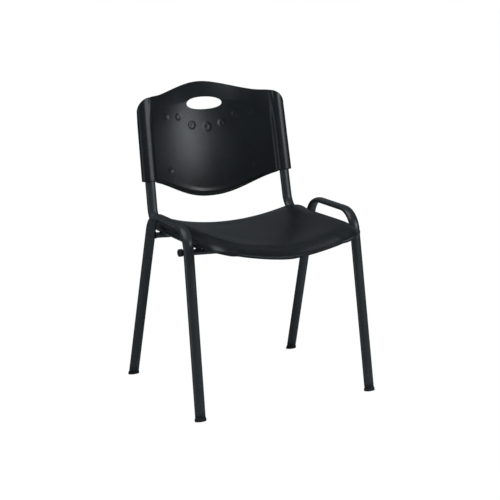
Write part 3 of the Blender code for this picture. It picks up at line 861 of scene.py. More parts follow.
@dataclass
class Crossbars:
    """The two bowed round bars, the caps on the front one, and the weld beads that hold them.

    Attributes:
        cap_inner_edge: distance from the cap's inner end and inset of each of its rings.
        cap_outer_edge: the same for its outer end.
        ripple: how much a bead swells at each ripple, as a share of its radius.
        rail_weld: half length, distance from the middle and sunk depth of the beads to a seat rail.
        leg_weld: the same for the beads to a front leg.
    """

    sizes: FrameSizes
    bar_sides: int = 32
    bar_steps: int = 36
    cap_radius: float = 0.0101
    cap_depth: float = 0.0085
    cap_end: float = 0.0025
    cap_inner_edge: tuple[Pair, ...] = ((0, 0.0007), (0.0003, 0.0002), (0.0008, 0))
    cap_outer_edge: tuple[Pair, ...] = ((0.0014, 0), (0.0008, 0.0002), (0.0003, 0.0007), (0, 0.0015), (0, 0.0050))
    cap_sides: int = 40
    bead: float = 0.0019
    bead_sides: int = 12
    bead_ripples: int = 5
    bead_power: int = 6
    bead_tip: float = 0.02
    ripple: float = 0.13
    ripple_rings: int = 6
    collar_steps: int = 96
    collar_sunk: float = 0.0004
    rail_weld: Triple = (0.0085, 0.0048, 0.0012)
    leg_weld: Triple = (0.0080, 0.0046, 0.0008)

    def point(self, x: float, leg: Leg) -> Vector:
        """A point of a bar's axis."""
        return Vector((x, self.sizes.bar_y(leg), self.sizes.bar_z(x)))

    def draw_bar(self, leg: Leg) -> BMesh:
        """Draw one bar.

        Args:
            leg: whose bar.

        Returns:
            Its outer skin.
        """
        half = self.sizes.bar_half(leg)
        bm = bmesh.new()
        radius = self.sizes.bar_radius
        across = Matrix.Rotation(math.pi / 2, 4, "Y")
        start = Matrix.Translation(self.point(-half, leg)) @ across
        made = bmesh.ops.create_circle(bm, cap_ends=False, segments=self.bar_sides, radius=radius, matrix=start)
        edges = ring_edges(made["verts"])
        reached = -half
        for i in range(self.bar_steps):
            ahead = half * (2 * (i + 1) / self.bar_steps - 1)
            verts, edges = extend(bm, edges)
            bmesh.ops.translate(bm, verts=verts, vec=self.point(ahead, leg) - self.point(reached, leg))
            reached = ahead
        return bm

    def draw_cap(self, side: Side) -> BMesh:
        """Draw the cap on one end of the front bar.

        Args:
            side: which end.

        Returns:
            The closed cap.
        """
        end = self.point(side.value * self.sizes.bar_half(Leg.FRONT), Leg.FRONT)
        place = Matrix.Translation(end) @ Matrix.Rotation(side.value * math.pi / 2, 4, "Y")
        inner = GAP - self.cap_depth
        bore = self.cap_radius - self.sizes.bar_radius - GAP
        steps = [(GAP, bore), (inner, bore)]
        steps += [(inner + back, inset) for back, inset in self.cap_inner_edge]
        steps += [(self.cap_end - back, inset) for back, inset in self.cap_outer_edge]
        rings = inset_rings(steps, self.cap_radius, self.cap_radius)
        bm = bmesh.new()
        draw_rings(bm, rings, self.cap_sides, place)
        return bm

    def draw_bead(self, bm: BMesh, start: Vector, end: Vector) -> None:
        """Draw a rippled weld bead between two points, rounded off at its ends.

        Args:
            bm: the mesh to draw in.
            start: one end.
            end: the other.
        """
        along = end - start
        place = along.to_track_quat("Z", "Y").to_matrix().to_4x4()
        place.translation = start
        rings = []
        count = self.bead_ripples * self.ripple_rings
        for i in range(count + 1):
            share = i / count
            ends = math.sqrt(max(1 - (2 * share - 1) ** self.bead_power, self.bead_tip))
            size = self.bead * ends * (1 + self.ripple * math.sin(share * self.bead_ripples * 2 * math.pi))
            rings.append((share * along.length, size, size))
        draw_rings(bm, rings, self.bead_sides, place)

    def draw_pair(self, bm: BMesh, touch: Vector, half: float, apart: Vector) -> None:
        """Draw two beads across the chair, one on each side of where a tube touches the bar.

        Args:
            bm: the mesh to draw in.
            touch: the middle of the touching line.
            half: half a bead's length.
            apart: from that line to one of the beads.
        """
        reach = Vector((half, 0, 0))
        for middle in (touch - apart, touch + apart):
            self.draw_bead(bm, middle - reach, middle + reach)

    def draw_collar(self, bm: BMesh, centre: Vector) -> None:
        """Draw a weld collar round a bar's end.

        Args:
            bm: the mesh to draw in.
            centre: on the bar's axis.
        """
        place = Matrix.Translation(centre + UPWARD * self.sizes.bar_radius) @ Matrix.Rotation(math.pi / 2, 4, "X")
        place = place @ Matrix.Rotation(math.pi / 2, 4, "Z")
        made = bmesh.ops.create_circle(bm, cap_ends=False, segments=self.bead_sides, radius=self.bead, matrix=place)
        bmesh.ops.spin(bm, geom=ring_edges(made["verts"]), cent=centre, axis=(1, 0, 0), dvec=(0, 0, 0),
                       angle=2 * math.pi, steps=self.collar_steps, use_merge=True, use_normal_flip=False,
                       use_duplicate=False)

    def draw_welds(self, leg: Leg) -> BMesh:
        """Draw the beads of one bar: to its legs, and to the seat rails on it.

        Args:
            leg: whose bar.

        Returns:
            Every bead of the bar.
        """
        sizes = self.sizes
        bm = bmesh.new()
        for side in Side:
            half, apart, sunk = self.rail_weld
            under = self.point(side.value * sizes.support_x, leg) + UPWARD * (sizes.bar_radius - sunk)
            self.draw_pair(bm, under, half, Vector((0, apart, 0)))
            if leg is Leg.FRONT:
                half, apart, sunk = self.leg_weld
                leg_x = side.value * (sizes.foot_x - sizes.bar_end_z * math.tan(sizes.tilt))
                touch = self.point(leg_x, leg) + Vector((0, sunk - sizes.bar_radius, 0))
                self.draw_pair(bm, touch, half, UPWARD * apart)
            else:
                self.draw_collar(bm, self.point(side.value * (sizes.bar_half(leg) - self.collar_sunk), leg))
        return bm

    def build(self, shop: Workshop) -> None:
        """Make the bars, the caps and the beads.

        Args:
            shop: turns the meshes into pieces.
        """
        for leg in Leg:
            name = f"{leg.value}_crossbar"
            shop.piece(self.draw_bar(leg), f"{name}_tube", "frame", [name], thickness=self.sizes.wall)
            shop.piece(self.draw_welds(leg), f"{name}_welds", "weld")
        for side in Side:
            name = f"{side.label}_crossbar_cap"
            shop.piece(self.draw_cap(side), f"{name}_moulding", "foot", [name])


@dataclass
class Feet:
    """The four push-in feet."""

    sizes: FrameSizes
    overhang: float = 0.0017
    sole_inset: float = 0.0002
    sole_height: float = 0.0012
    top_edge: tuple[Pair, ...] = ((0.0022, 0), (0.0012, 0.0003), (0.0004, 0.0009), (0, 0.0017))
    stem_length: float = 0.024
    stem_taper: float = 0.0004
    stem_wall: float = 0.0018
    well_floor: float = 0.002

    def draw(self, side: Side, leg: Leg) -> BMesh:
        """Draw one foot, cut level with the floor.

        Args:
            side: which frame.
            leg: which leg of it.

        Returns:
            The closed foot.
        """
        sizes = self.sizes
        place = sizes.plane(side) @ Matrix.Translation((0, sizes.foot_y(leg), 0))
        place = place @ Matrix.Rotation(-sizes.lean(leg), 4, "X")
        lift = sizes.foot_lift
        stem = self.overhang + sizes.wall + GAP
        tip = lift + self.stem_length
        steps = [(-lift, self.sole_inset), (self.sole_height, 0)]
        steps += [(lift - back, inset) for back, inset in self.top_edge]
        steps += [(lift, stem), (tip, stem + self.stem_taper), (tip, stem + self.stem_wall),
                  (lift + self.well_floor, stem + self.stem_wall)]
        rings = inset_rings(steps, sizes.half_width + self.overhang, sizes.half_depth + self.overhang)
        bm = bmesh.new()
        draw_rings(bm, rings, sizes.sides, place)
        everything = bm.verts[:] + bm.edges[:] + bm.faces[:]
        bmesh.ops.bisect_plane(bm, geom=everything, plane_co=(0, 0, 0), plane_no=(0, 0, 1), clear_inner=True)
        bmesh.ops.contextual_create(bm, geom=[edge for edge in bm.edges if edge.is_boundary])
        return bm

    def build(self, shop: Workshop) -> None:
        """Make the four feet.

        Args:
            shop: turns the meshes into pieces.
        """
        for side in Side:
            for leg in Leg:
                name = f"{leg.value}_{side.label}_foot"
                shop.piece(self.draw(side, leg), f"{name}_moulding", "foot", [name])


# -------- the seat


@dataclass
class Seat:
    """The moulded seat: a dished face that rolls down to its rim, and the bosses under it.

    Attributes:
        front_corner: power of the plan's front corners; a higher one is squarer.
        rear_corner: the same for the rear corners.
        dip_span: where the hollow in the front roll starts, is full and starts to end, 0 to 1 over the roll.
        boss_profile: height of each ring as a share of the boss, what is added to it, and how far it is drawn out.
    """

    sizes: FrameSizes
    half_width: float = 0.233
    front_y: float = -0.2788
    rear_y: float = 0.1072
    rear_bow: float = 0.013
    wall: float = 0.0045
    front_corner: float = 7.0
    rear_corner: float = 12.0
    roll_side: float = 0.055
    roll_front: float = 0.065
    roll_rear: float = 0.035
    skirt: float = 0.005
    dish_z: float = 0.4392
    dish_rear_rise: float = 0.0020
    dish_rear_from: float = 0.038
    dish_rear_over: float = 0.060
    crest_half: float = 0.197
    crest_rise: float = 0.0375
    crest_rear_loss: float = 0.0075
    rim_front_z: float = 0.4086
    rim_front_rise: float = 0.0247
    rim_front_reach: float = 0.16
    rim_front_power: float = 1.5
    rim_corner_rise: float = 0.0075
    rim_corner_start: float = 0.165
    rim_corner_reach: float = 0.050
    rim_side_rise: float = 0.0115
    rim_side_reach: float = 0.077
    rim_rear_z: float = 0.4325
    rim_rear_rise: float = 0.031
    rim_rear_reach: float = 0.2
    rim_rear_from: float = 0.008
    rim_rear_over: float = 0.08
    roll_power: float = 2.7
    roll_round: float = 2.6
    roll_side_power: float = 2.2
    columns: int = 64
    rows: int = 56
    rings: int = 22
    rim_round: float = 0.0016
    rim_segments: int = 3
    rim_angle: float = math.radians(60)
    dip: float = 0.0030
    dip_half: float = 0.058
    dip_power: int = 4
    dip_span: Triple = (0.34, 0.48, 0.50)
    boss_radius: float = 0.007
    boss_sides: int = 32
    boss_profile: tuple[Triple, ...] = (
        (0, 0, -0.0008), (0, 0.0006, 0), (0.6, 0, 0), (0.85, 0, 0.0008), (1, 0.001, 0.0030))
    screw_ys: Pair = (0.028, -0.132)

    def plan(self, a: float, b: float, inset: float) -> Pair:
        """Map a point of the square -1..1 to the seat's plan.

        Args:
            a: across the square.
            b: along it, -1 at the front.
            inset: 0 at the rim, 1 at the roll's inner edge.

        Returns:
            Its x and y.
        """
        power = self.front_corner if b < 0 else self.rear_corner
        size = max(abs(a), abs(b))
        if size > 0:
            share = size / (abs(a) ** power + abs(b) ** power) ** (1 / power)
            a, b = a * share, b * share
        front = self.front_y + inset * self.roll_front
        rear = self.rear_y - inset * self.roll_rear
        x = (self.half_width - inset * self.roll_side) * a
        y = (front + rear) / 2 + (rear - front) / 2 * b
        return x, y - self.rear_bow * (x / self.half_width) ** 2 * max(b, 0)

    def dish(self, x: float, y: float) -> float:
        """Height of the dished face, carried on past its crests.

        Args:
            x: across the chair.
            y: along it.

        Returns:
            The height.
        """
        back = ease((y - self.dish_rear_from) / self.dish_rear_over)
        middle = self.dish_z + self.dish_rear_rise * back
        rise = self.crest_rise - self.crest_rear_loss * back
        return middle + rise * (x / self.crest_half) ** 2

    def rim(self, x: float, y: float) -> float:
        """Height of the rim's lowest line.

        Args:
            x: across the chair.
            y: along it.

        Returns:
            The height.
        """
        across = abs(x)
        front = self.rim_front_z + self.rim_front_rise * min(across / self.rim_front_reach, 1) ** self.rim_front_power
        front += self.rim_corner_rise * ease((across - self.rim_corner_start) / self.rim_corner_reach)
        front += self.rim_side_rise * min(max((y - self.front_y) / self.rim_side_reach, 0), 1)
        rear = self.rim_rear_z + self.rim_rear_rise * min(across / self.rim_rear_reach, 1) ** 2
        return lerp(front, rear, ease((y - self.rim_rear_from) / self.rim_rear_over))

    def roll_share(self, roll: float, sideways: float) -> float:
        """How much of the drop to the rim is made at a point of the roll.

        Args:
            roll: 0 at the roll's inner edge, 1 at the rim.
            sideways: 1 on the sides, 0 along the front and rear.

        Returns:
            The share of the drop.
        """
        turned = 1 - math.sqrt(max(1 - roll ** self.roll_round, 0))
        return lerp((roll ** self.roll_power + turned) / 2, roll ** self.roll_side_power, sideways)

    def front_dip(self, x: float, roll: float) -> float:
        """Depth of the shallow hollow that starts sharply in the middle of the front roll.

        Args:
            x: across the chair.
            roll: 0 at the roll's inner edge, 1 at the rim.

        Returns:
            The depth.
        """
        start, full, end = self.dip_span
        across = math.exp(-(x / self.dip_half) ** self.dip_power)
        return self.dip * across * ease((roll - start) / (full - start)) * (1 - ease((roll - end) / (1 - end)))

    def point(self, a: float, b: float, roll: float) -> Vector:
        """A point of the upper face.

        Args:
            a: across the square.
            b: along it.
            roll: 0 at the roll's inner edge, 1 at the rim.

        Returns:
            The point.
        """
        inner = Vector(self.plan(a, b, 1.0))
        rim = Vector(self.plan(a, b, 0.0))
        x, y = inner.lerp(rim, roll)
        drop = self.dish(*rim) - self.rim(*rim) - self.skirt
        out = rim - inner
        sideways = abs(out.x) / (abs(out.x) + abs(out.y))
        z = self.dish(x, y) - drop * self.roll_share(roll, sideways)
        return Vector((x, y, z - (self.front_dip(x, roll) if b < 0 else 0.0)))

    def draw_face(self) -> BMesh:
        """Draw the upper face.

        Returns:
            A dished grid, rings that roll down to the rim, and a short skirt.
        """
        bm = bmesh.new()
        bmesh.ops.create_grid(bm, x_segments=self.columns, y_segments=self.rows, size=1)
        across = bm.verts.layers.float.new("across")
        along = bm.verts.layers.float.new("along")
        for vert in bm.verts:
            vert[across], vert[along] = vert.co.x, vert.co.y
            x, y = self.plan(vert.co.x, vert.co.y, 1.0)
            vert.co = (x, y, self.dish(x, y))
        for i in range(1, self.rings + 2):
            verts, _ = extend(bm, [edge for edge in bm.edges if edge.is_boundary])
            roll = math.sin(math.pi / 2 * min(i / self.rings, 1))
            for vert in verts:
                vert.co = self.point(vert[across], vert[along], roll)
                if i > self.rings:
                    vert.co.z -= self.skirt
        return bm

    def draw_bosses(self) -> BMesh:
        """Draw the four screw bosses, flared where they meet the seat.

        Returns:
            The four closed bosses.
        """
        bm = bmesh.new()
        base = self.sizes.seat_rail_z() + self.sizes.half_depth + GAP
        for side in Side:
            for y in self.screw_ys:
                x = side.value * self.sizes.support_x
                roll = (abs(x) - self.half_width + self.roll_side) / self.roll_side
                drop = self.dish(self.half_width, y) - self.rim(self.half_width, y) - self.skirt
                top = self.dish(x, y) - drop * self.roll_share(roll, 1.0) - self.wall
                rings = [((top - base) * share + lift, self.boss_radius + grow, self.boss_radius + grow)
                         for share, lift, grow in self.boss_profile]
                draw_rings(bm, rings, self.boss_sides, Matrix.Translation((x, y, base)))
        return bm

    def build(self, shop: Workshop) -> None:
        """Make the seat and its bosses.

        Args:
            shop: turns the meshes into pieces.
        """
        seat = shop.piece(self.draw_face(), "seat_moulding", "shell", ["seat_shell"], thickness=self.wall)
        rim = seat.modifiers.new("rim", "BEVEL")
        rim.width = self.rim_round
        rim.segments = self.rim_segments
        rim.limit_method = "ANGLE"
        rim.angle_limit = self.rim_angle
        shop.piece(self.draw_bosses(), "seat_screw_bosses", "shell")


# -------- the backrest


@dataclass(frozen=True)
class Dimple:
    """A shallow round recess in the backrest's face."""

    x: float
    z: float
    radius: float


@dataclass
class Backrest:
    """The moulded backrest: a dished panel between two sleeves, with a carrying hole.

    Attributes:
        flush_from: height from which the panel comes forward, level with the sleeves.
        inner_x: where the sleeves' front starts to slope back towards the panel.
        crease_z: height of the crease that the grip leans back from.
        crown_x: where the sleeves start to round off.
        thin_from: height from which the sleeves' rear thins.
        window_low: start of the grid's window round the hole, as a share of the height.
        nose: radius of the rounded edge.
        nose_shares: how far through it each of its rings lies.
    """

    sizes: FrameSizes
    half: float = 0.237
    low_z: float = 0.4968
    low_rise: float = 0.0673
    low_power: float = 1.1
    top_z: float = 0.820
    top_drop: float = 0.0295
    top_reach: float = 0.203
    top_power: float = 0.93
    shoulder_x: float = 0.199
    shoulder_drop: float = 0.040
    shoulder_lift: float = 0.0024
    shoulder_lift_at: float = 0.188
    shoulder_lift_width: float = 0.022
    wall: float = 0.0045
    sleeve_half_depth: float = 0.0105
    sleeve_inner: float = 0.203
    panel_edge: float = 0.190
    flush_from: float = 0.700
    flush_over: float = 0.090
    inner_x: float = 0.217
    inner_width: float = 0.015
    inner_fall: float = 0.0028
    inner_power: float = 1.3
    panel_arc: float = 0.200
    set_back: float = 0.044
    lumbar_z: float = 0.645
    lumbar_low: float = 0.50
    lumbar_high: float = 0.55
    crease_z: float = 0.768
    crease_fall: float = 0.118
    crease_start: float = 0.058
    grip_tilt: float = 0.14
    lip_height: float = 0.018
    lip_roll: float = 0.006
    lip_ridge: float = 0.0022
    lip_ridge_at: float = 0.0135
    lip_ridge_width: float = 0.0065
    crown_x: float = 0.211
    crown_power: float = 2.3
    thin_from: float = 0.705
    thin_over: float = 0.075
    sleeve_top_depth: float = -0.004
    narrowing: float = 0.105
    nose: float = 0.0015
    hole_z: float = 0.7600
    hole_half_width: float = 0.0575
    hole_half_height: float = 0.0171
    hole_power: float = 2.2
    flat_columns: int = 84
    shoulder_columns: int = 18
    rows: int = 130
    edge_inset: float = 0.0002
    window_half: float = 0.086
    window_half_height: float = 0.032
    window_low: float = 0.695
    window_high: float = 0.905
    window_rings: int = 12
    nose_shares: Triple = (0.13, 0.5, 1.0)
    dimple_depth: float = 0.0011
    dimple_slope: float = 0.0040
    dimple_inset: float = 0.0022
    dimple_crown: float = 0.8
    dimple_crown_share: float = 0.55
    dimples: tuple[Dimple, ...] = (
        Dimple(0.0, 0.694, 0.013), Dimple(-0.049, 0.702, 0.011), Dimple(0.049, 0.702, 0.011),
        Dimple(-0.092, 0.728, 0.0085), Dimple(0.092, 0.728, 0.0085), Dimple(-0.136, 0.7316, 0.007),
        Dimple(0.136, 0.7316, 0.007), Dimple(-0.136, 0.584, 0.006), Dimple(0.136, 0.584, 0.006),
    )

    def low(self, x: float) -> float:
        """The lower outline: a curved panel edge between square sleeve ends.

        Args:
            x: across, before the backrest's taper.

        Returns:
            Its height.
        """
        across = abs(x)
        curve = self.low_z + self.low_rise * math.sin(math.pi / 2 * (across / self.half) ** self.low_power) ** 2
        square = self.low_z + self.low_rise
        return lerp(curve, square, ease((across - self.panel_edge) / (self.sleeve_inner - self.panel_edge)))

    def top(self, x: float) -> float:
        """The upper outline: a low peak, and a rounded shoulder over each sleeve.

        Args:
            x: across, before the backrest's taper.

        Returns:
            Its height.
        """
        across = abs(x)
        shoulder = min(max((across - self.shoulder_x) / (self.half - self.shoulder_x), 0), 1)
        share = min(across / self.top_reach, 1) ** self.top_power
        ridge = self.top_z - self.top_drop * math.sin(math.pi / 2 * share) ** 2
        ridge += self.shoulder_lift * math.exp(-((across - self.shoulder_lift_at) / self.shoulder_lift_width) ** 2)
        return ridge - self.shoulder_drop * (1 - math.sqrt(1 - shoulder ** 2))

    def taper(self, z: float) -> float:
        """How much the backrest has narrowed at a height."""
        return 1 - self.narrowing * (z - self.sizes.upright_ref_z)

    def recess(self, x: float, z: float) -> float:
        """Depth of the dimples in the front face.

        Args:
            x: across, before the backrest's taper.
            z: height.

        Returns:
            The depth.
        """
        depth = 0.0
        for dimple in self.dimples:
            distance = math.hypot(x - dimple.x, z - dimple.z)
            pit = 1 - ease((distance - dimple.radius + self.dimple_inset) / self.dimple_slope)
            crown = 1 - ease(distance / (dimple.radius * self.dimple_crown_share))
            depth += self.dimple_depth * (pit - self.dimple_crown * crown)
        return depth

    def panel(self, x: float, z: float) -> float:
        """How far the panel's face lies behind the uprights' axes.

        Args:
            x: across, before the backrest's taper.
            z: height.

        Returns:
            The distance.
        """
        bend = self.lumbar_low if z < self.lumbar_z else self.lumbar_high
        depth = self.set_back + bend * (z - self.lumbar_z) ** 2
        crease = self.crease_z - self.crease_fall * max(abs(x) - self.crease_start, 0)
        depth += self.grip_tilt * max(z - crease, 0)
        height = z - self.low(x)
        depth += self.lip_roll * max(1 - height / self.lip_height, 0) ** 2
        depth -= self.lip_ridge * math.exp(-((height - self.lip_ridge_at) / self.lip_ridge_width) ** 2)
        outward = min((x / self.panel_arc) ** 2, 1)
        flush = ease((z - self.flush_from) / self.flush_over)
        return depth * (1 - outward) - self.sleeve_half_depth * flush * outward

    def roundness(self, x: float) -> float:
        """How much of a sleeve's depth is left as it rounds off to its outer edge.

        Args:
            x: across, before the backrest's taper.

        Returns:
            The share, 1 to 0.
        """
        share = min(max((abs(x) - self.crown_x) / (self.half - self.crown_x), 0), 1)
        return (1 - share ** self.crown_power) ** (1 / self.crown_power)

    def rear_depth(self, z: float) -> float:
        """Half depth of a sleeve's rear: it thins above the uprights' ends."""
        return lerp(self.sleeve_half_depth, self.sleeve_top_depth, ease((z - self.thin_from) / self.thin_over))

    def place(self, x: float, z: float, face: Face) -> Vector:
        """A point of one face.

        Args:
            x: across, before the backrest's taper.
            z: height.
            face: which face.

        Returns:
            The point.
        """
        sleeve = ease((abs(x) - self.panel_edge) / (self.sleeve_inner - self.panel_edge))
        panel = self.panel(x, z)
        if face is Face.FRONT:
            inner = min(max((self.inner_x - abs(x)) / self.inner_width, 0), 1)
            front = -self.sleeve_half_depth * self.roundness(x) + self.inner_fall * inner ** self.inner_power
            depth = lerp(panel, front, sleeve) + self.recess(x, z)
        else:
            panel += self.wall / math.cos(self.sizes.upright_lean)
            depth = lerp(panel, self.rear_depth(z) * self.roundness(x), sleeve)
        return Vector((x * self.taper(z), self.sizes.upright_y(z) + depth, z))

    def column_xs(self) -> list[float]:
        """Where the grid's columns stand: even over the panel, closer round the shoulders.

        Returns:
            Their x, from left to right.
        """
        half = self.half - self.edge_inset
        flat = [self.shoulder_x * i / self.flat_columns for i in range(self.flat_columns + 1)]
        for i in range(1, self.shoulder_columns + 1):
            turn = math.pi / 2 * i / self.shoulder_columns
            flat.append(self.shoulder_x + (half - self.shoulder_x) * math.sin(turn))
        return [-x for x in reversed(flat[1:])] + flat

    def to_hole(self, x: float, z: float, share: float) -> Pair:
        """Draw a point of the window round the hole in towards the hole's edge.

        Args:
            x: of the window point.
            z: of the window point.
            share: 0 stays, 1 reaches the edge.

        Returns:
            The new x and z.
        """
        middle = self.hole_z
        angle = math.atan2((z - middle) / self.window_half_height, x / self.window_half)
        across, up = math.cos(angle), math.sin(angle)
        size = (abs(across) ** self.hole_power + abs(up) ** self.hole_power) ** (-1 / self.hole_power)
        edge_x = (self.hole_half_width + self.nose) * across * size
        edge_z = middle + (self.hole_half_height + self.nose) * up * size
        return lerp(x, edge_x, share), lerp(z, edge_z, share)

    def draw_sheet(self, bm: BMesh, face: Face) -> list[BMEdge]:
        """Draw one face with its hole.

        Args:
            bm: the mesh to draw in.
            face: which face.

        Returns:
            The face's open edges, outer and round the hole.
        """
        layers = bm.verts.layers.float
        at_x, at_z = layers["at_x"], layers["at_z"]
        base_x, base_z = layers["base_x"], layers["base_z"]
        columns = self.column_xs()
        made = bmesh.ops.create_grid(bm, x_segments=len(columns) - 1, y_segments=self.rows, size=1)
        sheet = set(made["verts"])
        window = []
        for vert in made["verts"]:
            x = columns[round((vert.co.x + 1) / 2 * (len(columns) - 1))]
            share = (vert.co.y + 1) / 2
            z = lerp(self.low(x) + self.nose, self.top(min(abs(x), self.half)) - self.nose, share)
            if abs(x) < self.window_half and self.window_low < share < self.window_high:
                window.append(vert)
            vert[at_x], vert[at_z] = x, z
            vert[base_x], vert[base_z] = x, z
            vert.co = self.place(x, z, face)
        inside = set(window)
        faces = dict.fromkeys(f for vert in window for f in vert.link_faces if all(v in inside for v in f.verts))
        bmesh.ops.delete(bm, geom=list(faces), context="FACES")
        edges = [edge for edge in bm.edges if edge.is_valid and edge.is_boundary
                 and all(v in inside for v in edge.verts) and edge.verts[0] in sheet]
        for i in range(1, self.window_rings + 1):
            verts, edges = extend(bm, edges)
            share = i / self.window_rings
            for vert in verts:
                sheet.add(vert)
                x, z = self.to_hole(vert[base_x], vert[base_z], share)
                vert[at_x], vert[at_z] = x, z
                vert.co = self.place(x, z, face)
        return [edge for edge in bm.edges if edge.is_boundary and edge.verts[0] in sheet]

    def round_rim(self, bm: BMesh, edges: list[BMEdge]) -> None:
        """Draw the front face's open edges back to the rear face round a small nose.

        Args:
            bm: the mesh to draw in.
            edges: the front face's open edges.
        """
        at_x, at_z = bm.verts.layers.float["at_x"], bm.verts.layers.float["at_z"]
        out_x, out_z = bm.verts.layers.float["out_x"], bm.verts.layers.float["out_z"]
        outward: dict[BMVert, Vector] = {}
        for edge in edges:
            first, second = (Vector((v[at_x], v[at_z])) for v in edge.verts)
            along = (second - first).normalized()
            inner = Vector((0.0, 0.0))
            for vert in edge.link_faces[0].verts:
                inner += Vector((vert[at_x], vert[at_z])) / len(edge.link_faces[0].verts)
            away = (first + second) / 2 - inner
            away -= along * away.dot(along)
            for vert in edge.verts:
                outward[vert] = outward.get(vert, Vector((0.0, 0.0))) + away.normalized()
        for vert, way in outward.items():
            way.normalize()
            vert[out_x], vert[out_z] = way
        shares = self.nose_shares
        stops = [(share, False) for share in shares] + [(share, True) for share in (*reversed(shares), 0.0)]
        for share, behind in stops:
            verts, edges = extend(bm, edges)
            for vert in verts:
                x, z = vert[at_x], vert[at_z]
                front, rear = self.place(x, z, Face.FRONT), self.place(x, z, Face.REAR)
                through = rear - front
                nose = min(self.nose, through.length / 2)
                inset = through.normalized() * nose * share
                bulge = nose * math.sqrt(max(1 - (1 - share) ** 2, 0))
                spot = rear - inset if behind else front + inset
                vert.co = spot + Vector((vert[out_x] * bulge, 0, vert[out_z] * bulge))

    def build(self, shop: Workshop) -> None:
        """Make the backrest.

        Args:
            shop: turns the meshes into pieces.
        """
        bm = bmesh.new()
        for word in ("at_x", "at_z", "base_x", "base_z", "out_x", "out_z"):
            bm.verts.layers.float.new(word)
        edges = self.draw_sheet(bm, Face.FRONT)
        self.round_rim(bm, edges)
        self.draw_sheet(bm, Face.REAR)
        shop.piece(bm, "backrest_moulding", "shell", ["backrest_shell"])


# -------- the screws


@dataclass
class Screws:
    """The seat's and the backrest's pan-head screws."""

    sizes: FrameSizes
    seat: Seat
    back: Backrest
    sides: int = 36
    seat_length: float = 0.026
    back_length: float = 0.011
    back_z: float = 0.600
    shank: float = 0.0022
    tip: float = 0.003
    tip_share: float = 0.35
    head: float = 0.0048
    head_height: float = 0.0026
    dome_steps: int = 8
    dome_share: float = 0.45
    dome_rise: float = 0.65
    socket: float = 0.0017
    socket_chamfer: Pair = (1.12, 0.0002)
    socket_depth: float = 0.0016
    socket_corners: int = 6

    def draw(self, place: Matrix, length: float) -> BMesh:
        """Draw one screw.

        Args:
            place: its head's bearing face, with the head along +Z.
            length: of the shank.

        Returns:
            The closed screw.
        """
        rings = [(-length, self.shank * self.tip_share, self.shank * self.tip_share),
                 (self.tip - length, self.shank, self.shank), (0, self.shank, self.shank), (0, self.head, self.head)]
        for i in range(1, self.dome_steps):
            turn = math.pi / 2 * i / self.dome_steps
            size = self.head * (1 - self.dome_share * (1 - math.cos(turn)))
            rings.append((self.head_height * (1 - self.dome_rise * (1 - math.sin(turn))), size, size))
        wider, chamfer = self.socket_chamfer
        rings += [(self.head_height, -self.socket * wider, self.socket * wider),
                  (self.head_height - chamfer, -self.socket, self.socket),
                  (self.head_height - self.socket_depth, -self.socket, self.socket)]
        bm = bmesh.new()
        draw_rings(bm, rings, self.sides, place, self.socket_corners)
        return bm

    def build(self, shop: Workshop) -> None:
        """Make the six screws.

        Args:
            shop: turns the meshes into pieces.
        """
        sizes = self.sizes
        for side in Side:
            for leg, y in zip((Leg.REAR, Leg.FRONT), self.seat.screw_ys):
                under = Vector((side.value * sizes.support_x, y, sizes.seat_rail_z() - sizes.half_depth - GAP))
                place = Matrix.Translation(under) @ Matrix.Rotation(math.pi, 4, "X")
                name = f"{leg.value}_{side.label}_seat_screw"
                shop.piece(self.draw(place, self.seat_length), f"{name}_steel", "screw", [name])
            z = self.back_z
            point = Vector((side.value * sizes.upright_x(z), sizes.upright_y(z), z))
            place = Matrix.Translation(point) @ Matrix.Rotation(-math.pi / 2 - sizes.upright_lean, 4, "X")
            lift = self.back.sleeve_half_depth / math.cos(sizes.upright_lean) + GAP
            place = place @ Matrix.Translation((0, 0, lift))
            name = f"{side.label}_backrest_screw"
            shop.piece(self.draw(place, self.back_length), f"{name}_steel", "screw", [name])


# -------- the studio


def aim(obj: bpy.types.Object, at: Triple, to: Triple) -> None:
    """Stand a lamp or camera at one point, facing another."""
    obj.location = at
    obj.rotation_euler = (Vector(to) - Vector(at)).to_track_quat("-Z", "Y").to_euler()


@dataclass(frozen=True)
class Softbox:
    """A square lamp: where it hangs, the point it faces, its side and its power."""

    name: str
    at: Triple
    to: Triple
    size: float
    watts: float
    colour: Triple = (0.92, 0.97, 1.0)

    def hang(self) -> None:
        """Put the lamp in the scene."""
        data = bpy.data.lights.new(self.name, "AREA")
        data.shape = "SQUARE"
        data.size = self.size
        data.energy = self.watts
        data.color = self.colour
        aim(show(self.name, data), self.at, self.to)


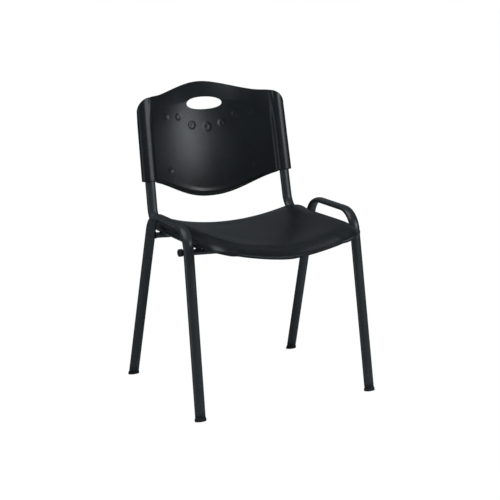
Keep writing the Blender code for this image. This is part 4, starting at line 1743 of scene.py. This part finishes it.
@dataclass
class Studio:
    """The pale floor, the white backdrop, the soft lights and the camera."""

    camera_at: Triple = (-1.7309, -3.3169, 1.2626)
    look_at: Triple = (0.0, -0.0438, 0.3841)
    lens: float = 99.0
    sensor: float = 36.0
    floor_half: float = 14.0
    floor_cells: int = 4
    floor_colour: Triple = (0.74, 0.76, 0.79)
    floor_glow: float = 0.97
    floor_strength: float = 1.03
    fill_colour: Triple = (0.88, 0.95, 1.0)
    fill_span: Pair = (0.1, 0.9)
    fill_strength: Pair = (0.08, 0.16)
    softboxes: tuple[Softbox, ...] = (
        Softbox("key_softbox", (2.05, -2.15, 1.5), (0, 0, 0.5), 1.0, 17),
        Softbox("top_softbox", (-0.3, -0.5, 2.8), (0, 0, 0.4), 1.8, 20),
        Softbox("left_softbox", (-2.4, -1.7, 0.7), (0, 0, 0.4), 1.6, 8),
    )

    def floor(self) -> None:
        """A pale floor that runs out of sight."""
        bm = bmesh.new()
        bmesh.ops.create_grid(bm, x_segments=self.floor_cells, y_segments=self.floor_cells, size=self.floor_half)
        mesh = bpy.data.meshes.new("studio_floor")
        bm.to_mesh(mesh)
        bm.free()
        material = bpy.data.materials.new("pale_floor")
        material.use_nodes = True
        graph = Graph(material.node_tree)
        out = graph.node("ShaderNodeOutputMaterial")
        matt = graph.node("ShaderNodeBsdfDiffuse", Color=(*self.floor_colour, 1.0))
        glow = graph.node("ShaderNodeEmission", Color=WHITE, Strength=self.floor_strength)
        mix = graph.node("ShaderNodeMixShader")
        seen = graph.node("ShaderNodeLightPath").outputs["Is Camera Ray"]
        graph.link(graph.maths("MULTIPLY", seen, self.floor_glow), mix.inputs[0])
        graph.link(matt.outputs[0], mix.inputs[1])
        graph.link(glow.outputs[0], mix.inputs[2])
        graph.link(mix.outputs[0], out.inputs["Surface"])
        mesh.materials.append(material)
        floor = show("studio_floor", mesh)

    def sky(self) -> None:
        """A white backdrop that lights the chair softly and dimly."""
        world = bpy.data.worlds.new("studio")
        world.use_nodes = True
        bpy.context.scene.world = world
        graph = Graph(world.node_tree)
        out = graph.node("ShaderNodeOutputWorld")
        seen = graph.node("ShaderNodeBackground", Color=WHITE, Strength=1.0)
        fill = graph.node("ShaderNodeBackground", Color=(*self.fill_colour, 1.0))
        way = graph.node("ShaderNodeSeparateXYZ")
        graph.link(graph.node("ShaderNodeTexCoord").outputs["Generated"], way.inputs[0])
        graph.link(graph.spread(way.outputs["Y"], self.fill_span, self.fill_strength), fill.inputs["Strength"])
        mix = graph.node("ShaderNodeMixShader")
        graph.link(graph.node("ShaderNodeLightPath").outputs["Is Camera Ray"], mix.inputs[0])
        graph.link(fill.outputs[0], mix.inputs[1])
        graph.link(seen.outputs[0], mix.inputs[2])
        graph.link(mix.outputs[0], out.inputs["Surface"])

    def camera(self) -> None:
        """Set up the camera."""
        data = bpy.data.cameras.new("camera")
        data.lens = self.lens
        data.sensor_width = self.sensor
        camera = show("camera", data)
        aim(camera, self.camera_at, self.look_at)
        bpy.context.scene.camera = camera

    def build(self) -> None:
        """Make the whole studio."""
        self.floor()
        self.sky()
        for softbox in self.softboxes:
            softbox.hang()
        self.camera()
        bpy.context.scene.view_settings.view_transform = "Standard"


# -------- the chair


def main() -> None:
    """Build the chair and its studio."""
    logging.basicConfig(level=logging.INFO, format="%(name)s: %(message)s")
    shop = Workshop()
    sizes = FrameSizes()
    seat, back = Seat(sizes), Backrest(sizes)
    for part in (LegFrames(sizes), BackSupports(sizes), Crossbars(sizes), Feet(sizes), seat, back,
                 Screws(sizes, seat, back)):
        part.build(shop)
        LOG.info("%s made", type(part).__name__)
    Studio().build()


if __name__ == "__main__":
    main()
